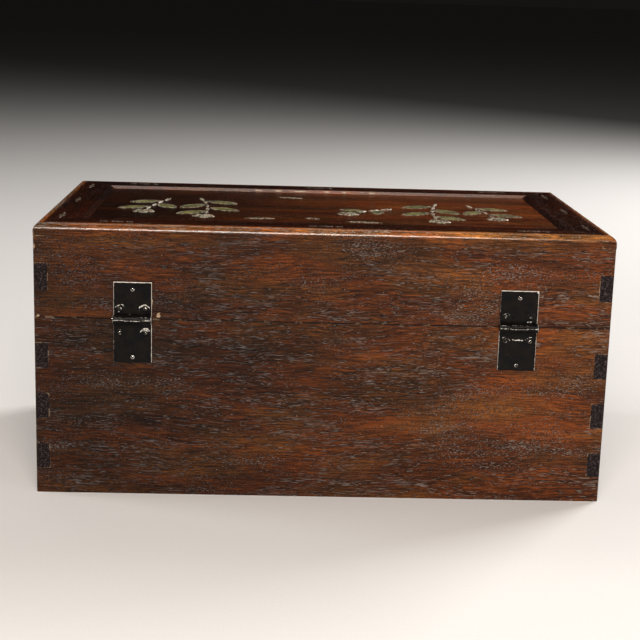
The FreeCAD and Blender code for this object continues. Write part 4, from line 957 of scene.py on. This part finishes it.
def pearl(name, wear=0.0):
    """Mother-of-pearl, silver with drifts of pink and green. wear from 0 to 1 dulls and darkens it."""
    f = Finish(name)
    drift = f.cloud(f.stretch(f.place(), (210, 210, 210)), 2.0)
    flake = f.cloud(f.stretch(f.place(), (650, 380, 500)), 3.0, 0.65)
    colour = f.colours(drift, PEARL_SHEENS)
    grime = f.step(flake, 0.52 - 0.2 * wear, 0.60 - 0.2 * wear, 0.0, 0.92)
    colour = f.blend(grime, colour, PEARL_GRIME)
    roughness = f.math("ADD", f.math("MULTIPLY", flake, 0.2), 0.14)
    normal = f.relief(flake, 0.08 * MM, 0.5)
    return f.finish(Base_Color=colour, Roughness=roughness, Normal=normal, Specular_IOR_Level=0.5)


stone = soapstone("soapstone")
shell = pearl("pearl", 0.25)
dull_shell = pearl("pearl_worn", 0.8)
shell_nodes = ["inlay_left_rims", "inlay_right_rims", "inlay_slips", "frame_flecks"]
for name in shell_nodes:
    dress(name, dull_shell if name == "frame_flecks" else shell)
print("pearl solids:", len(shell_nodes))

# %% [markdown]
# ## Carving the inlay
# A soapstone leaf is not flat: the carver rounds it to its rim, cuts a midrib and scratches the veins.
# The flowers are pearl with a hollow between petals and a small boss in the middle.
# Each could be modelled by hand, but their outlines are already in the solids.
# So the outline of each solid leaf or flower is read, and a carved skin is stretched inside it.

# %% Read outlines from the solids
def loose_outlines(node_name):
    """For each loose piece of a solid, the flat points of its top face, as (x, y)."""
    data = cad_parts[node_name].data
    owner = {}
    for vertex in data.vertices:
        owner.setdefault(tuple(round(c / (0.01 * MM)) for c in vertex.co), len(owner))
    spot = [owner[tuple(round(c / (0.01 * MM)) for c in vertex.co)] for vertex in data.vertices]
    root = list(range(len(owner)))

    def find(place):
        while root[place] != place:
            root[place] = root[root[place]]
            place = root[place]
        return place

    for polygon in data.polygons:
        corners = [find(spot[v]) for v in polygon.vertices]
        for corner in corners[1:]:
            root[find(corner)] = find(corners[0])
    pieces = {}
    for vertex in data.vertices:
        pieces.setdefault(find(spot[vertex.index]), []).append(vertex.co)
    outlines = []
    for points in pieces.values():
        top = max(point.z for point in points)
        flat = {(round(p.x, 6), round(p.y, 6)) for p in points if p.z > top - 0.05 * MM}
        outlines.append(sorted(flat))
    return sorted(outlines)


def skin_to_piece(name, mesh, material, node_name):
    """Turns a net into a piece that rides with the lid in place of a plain solid."""
    for face in mesh.faces:
        face.smooth = True
    data = bpy.data.meshes.new(name)
    mesh.to_mesh(data)
    mesh.free()
    piece = bpy.data.objects.new(name, data)
    bpy.context.scene.collection.objects.link(piece)
    data.materials.append(material)
    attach(piece, "lid")
    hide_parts(node_name)
    return piece


for node_name in ("inlay_left_leaves", "inlay_left_flowers"):
    print(node_name, "loose pieces:", len(loose_outlines(node_name)))

# %% [markdown]
# A leaf's outline is a lens, so its two tips are its two points that lie furthest apart.
# Between the tips the skin is a grid: one way along the leaf and the other way across it.
# The height is a low dome, less a groove for the midrib and finer grooves for the slanting veins.

# %% Carve the leaves
DOME = 0.55 * MM
RIM_RISE = 0.10 * MM
MIDRIB_DEPTH = 0.30 * MM
MIDRIB_WIDTH = 0.28 * MM
VEIN_DEPTH = 0.13 * MM
VEIN_SPACING = 2.6 * MM
VEIN_SLANT = 0.9
SKIRT = 0.6 * MM


def carved_leaf(mesh, points, surface):
    """Adds one carved leaf to a net, inside the outline given. surface is the height of the wood."""
    tips = max(((a, b) for a in points for b in points), key=lambda pair: math.dist(*pair))
    start, end = Vector(tips[0]), Vector(tips[1])
    middle = (start + end) / 2
    half_length = (end - start).length / 2
    along = (end - start) / (2 * half_length)
    across = Vector((-along.y, along.x))
    half_width = max(abs((Vector(point) - middle).dot(across)) for point in points)
    steps_along, steps_across = 48, 20
    net = []
    for i in range(steps_along + 1):
        u = -1 + 2 * i / steps_along
        width = max(half_width * (1 - u * u), 0.02 * MM)
        line = []
        for j in range(steps_across + 1):
            v = -1 + 2 * j / steps_across
            rise = RIM_RISE + DOME * (1 - v * v) * (1 - u ** 4)
            off_midrib = v * width
            rise -= MIDRIB_DEPTH * (1 - u ** 4) * math.exp(-((off_midrib / MIDRIB_WIDTH) ** 2))
            slant = (u * half_length - VEIN_SLANT * abs(off_midrib)) / VEIN_SPACING
            vein = 0.5 + 0.5 * math.cos(2 * math.pi * slant)
            rise -= VEIN_DEPTH * vein ** 6 * (1 - abs(v)) * min(1.0, abs(off_midrib) / (0.5 * MM))
            place = middle + along * (u * half_length) + across * off_midrib
            line.append(mesh.verts.new((place.x, place.y, surface + max(rise, 0.03 * MM))))
        net.append(line)
    for i in range(steps_along):
        for j in range(steps_across):
            mesh.faces.new((net[i][j], net[i + 1][j], net[i + 1][j + 1], net[i][j + 1]))
    for edge_line in ([row[0] for row in net], [row[-1] for row in net][::-1]):
        feet = [mesh.verts.new((v.co.x, v.co.y, surface - SKIRT)) for v in edge_line]
        for i in range(len(feet) - 1):
            mesh.faces.new((edge_line[i + 1], edge_line[i], feet[i], feet[i + 1]))


WOOD_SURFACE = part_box("top_panel")[1].z
for side in ("left", "right"):
    mesh = bmesh.new()
    outlines = loose_outlines(f"inlay_{side}_leaves")
    for points in outlines:
        carved_leaf(mesh, points, WOOD_SURFACE)
    skin_to_piece(f"inlay_{side}_leaves_carved", mesh, stone, f"inlay_{side}_leaves")
    print(side, "leaves carved:", len(outlines))

# %% [markdown]
# A flower's outline dips between petals. Going round it, the reach to the outline is long at a petal
# and short at a hollow, so the same reach can steer the carving: high petals and low hollows.
# The skin is a wheel of rings, from the middle out to the outline.

# %% Carve the flowers
HUB_RISE = 0.25 * MM
PETAL_FOOT = 0.12 * MM
PETAL_RISE = 0.55 * MM
BOSS_RISE = 0.35 * MM
BOSS_RADIUS = 1.5 * MM


def carved_flower(mesh, points, surface):
    """Adds one carved flower to a net, inside the outline given."""
    middle = sum((Vector(point) for point in points), Vector((0, 0))) / len(points)
    polar = []
    for point in points:
        arm = Vector(point) - middle
        if arm.length > 1 * MM:
            polar.append((math.atan2(arm.y, arm.x), arm.length))
    polar.sort()
    polar = [(polar[-1][0] - 2 * math.pi, polar[-1][1])] + polar + [(polar[0][0] + 2 * math.pi, polar[0][1])]
    longest = max(reach for _, reach in polar)
    shortest = min(reach for _, reach in polar)

    def reach_at(angle):
        for (a, low), (b, high) in zip(polar, polar[1:]):
            if a <= angle <= b:
                return low + (high - low) * (angle - a) / max(b - a, 1e-9)
        return shortest

    steps_round, rings = 90, 16
    hub = mesh.verts.new((middle.x, middle.y, surface + HUB_RISE + BOSS_RISE))
    wheel = []
    for i in range(steps_round):
        angle = -math.pi + 2 * math.pi * (i + 0.5) / steps_round
        reach = reach_at(angle)
        petal = (reach - shortest) / max(longest - shortest, 1e-9)
        spoke = []
        for j in range(1, rings + 1):
            share = j / rings
            swell = math.sin(math.pi * share ** 1.3) ** 0.8
            rise = PETAL_FOOT + PETAL_RISE * (0.35 + 0.65 * petal) * swell
            rise += BOSS_RISE * math.exp(-((share * reach / BOSS_RADIUS) ** 4))
            across = middle.x + share * reach * math.cos(angle)
            along = middle.y + share * reach * math.sin(angle)
            spoke.append(mesh.verts.new((across, along, surface + rise)))
        spoke.append(mesh.verts.new((spoke[-1].co.x, spoke[-1].co.y, surface - SKIRT)))
        wheel.append(spoke)
    for i in range(steps_round):
        spoke, following = wheel[i], wheel[(i + 1) % steps_round]
        mesh.faces.new((hub, spoke[0], following[0]))
        for j in range(rings):
            mesh.faces.new((spoke[j], spoke[j + 1], following[j + 1], following[j]))


for side in ("left", "right"):
    mesh = bmesh.new()
    outlines = loose_outlines(f"inlay_{side}_flowers")
    for points in outlines:
        carved_flower(mesh, points, WOOD_SURFACE)
    skin_to_piece(f"inlay_{side}_flowers_carved", mesh, shell, f"inlay_{side}_flowers")
    print(side, "flowers carved:", len(outlines))

# %% [markdown]
# ## The floor
# The box stands on a plain pale floor, so wide that its far edge is out of sight.
# A floor could be pure white, but then the box would seem to float. A faint paper tooth grounds it.

# %% A paper floor
FLOOR_REACH = 4000.0
FLOOR_CELLS = 24


def build_floor():
    """A wide pale floor, flat and plain."""
    mesh = bmesh.new()
    bmesh.ops.create_grid(mesh, x_segments=FLOOR_CELLS, y_segments=FLOOR_CELLS, size=FLOOR_REACH)
    data = bpy.data.meshes.new("studio_floor")
    mesh.to_mesh(data)
    mesh.free()
    floor = bpy.data.objects.new("studio_floor", data)
    bpy.context.scene.collection.objects.link(floor)
    f = Finish("studio_paper")
    tooth = f.cloud(f.stretch(f.place(), (700, 700, 700)), 2.0)
    colour = f.colours(tooth, [(0.3, (0.76, 0.755, 0.745)), (0.7, (0.79, 0.785, 0.775))])
    data.materials.append(f.finish(Base_Color=colour, Roughness=0.85, Specular_IOR_Level=0.2))
    return floor


floor = build_floor()
print("the floor reaches", FLOOR_REACH, "each way")

# %% [markdown]
# ## The lights
# Five soft lights stand round the box, as in a small studio, and each has one job.
# The key is low and to one side of the back, so the grain is raked and one end is brighter.
# The glint light is a long strip above and behind the viewer, and the lid's round edge mirrors it.
# The front and side lights fill the drawers' side and the end, and stand where the lid can't mirror
# them to a viewer at the back. The top light puts a band on the bevel beyond the panel.
# The air itself is nearly dark, because the waxed lid would mirror a bright one as a grey veil.

# %% Softboxes
def softbox(name, place, aim_at, size, power, colour):
    """A rectangular light of the given width and height in metres, aimed at a point."""
    data = bpy.data.lights.new(name, "AREA")
    data.shape = "RECTANGLE"
    data.size, data.size_y = size
    data.energy = power
    data.color = colour
    light = bpy.data.objects.new(name, data)
    bpy.context.scene.collection.objects.link(light)
    light.location = place
    away = Vector(place) - Vector(aim_at)
    light.rotation_mode = "QUATERNION"
    light.rotation_quaternion = away.to_track_quat("Z", "Y")
    return light


BOX_MIDDLE = (0, 0, 0.1)
softbox("key_light", (-1.00, 0.90, 0.42), BOX_MIDDLE, (0.8, 0.42), 5.1, (1.0, 0.96, 0.91))
softbox("glint_light", (0.06, 1.25, 1.05), (0, 0.1, 0.17), (0.80, 0.14), 18.5, (1.0, 0.90, 0.82))
softbox("front_light", (-1.60, -1.25, 1.25), BOX_MIDDLE, (1.0, 0.8), 46, (1.0, 0.97, 0.94))
softbox("side_light", (1.90, -0.15, 1.00), BOX_MIDDLE, (0.8, 0.8), 19, (1.0, 0.97, 0.94))
softbox("top_light", (0.15, -0.80, 1.60), (0, -0.07, 0.17), (1.3, 0.35), 3, (1.0, 0.90, 0.84))

AIR_COLOUR = (0.90, 0.85, 0.80, 1)
AIR_STRENGTH = 0.008
world = bpy.data.worlds.new("studio_air")
bpy.context.scene.world = world
world.use_nodes = True
air = world.node_tree.nodes["Background"]
air.inputs["Color"].default_value = AIR_COLOUR
air.inputs["Strength"].default_value = AIR_STRENGTH
bpy.context.scene.view_settings.view_transform = "Standard"
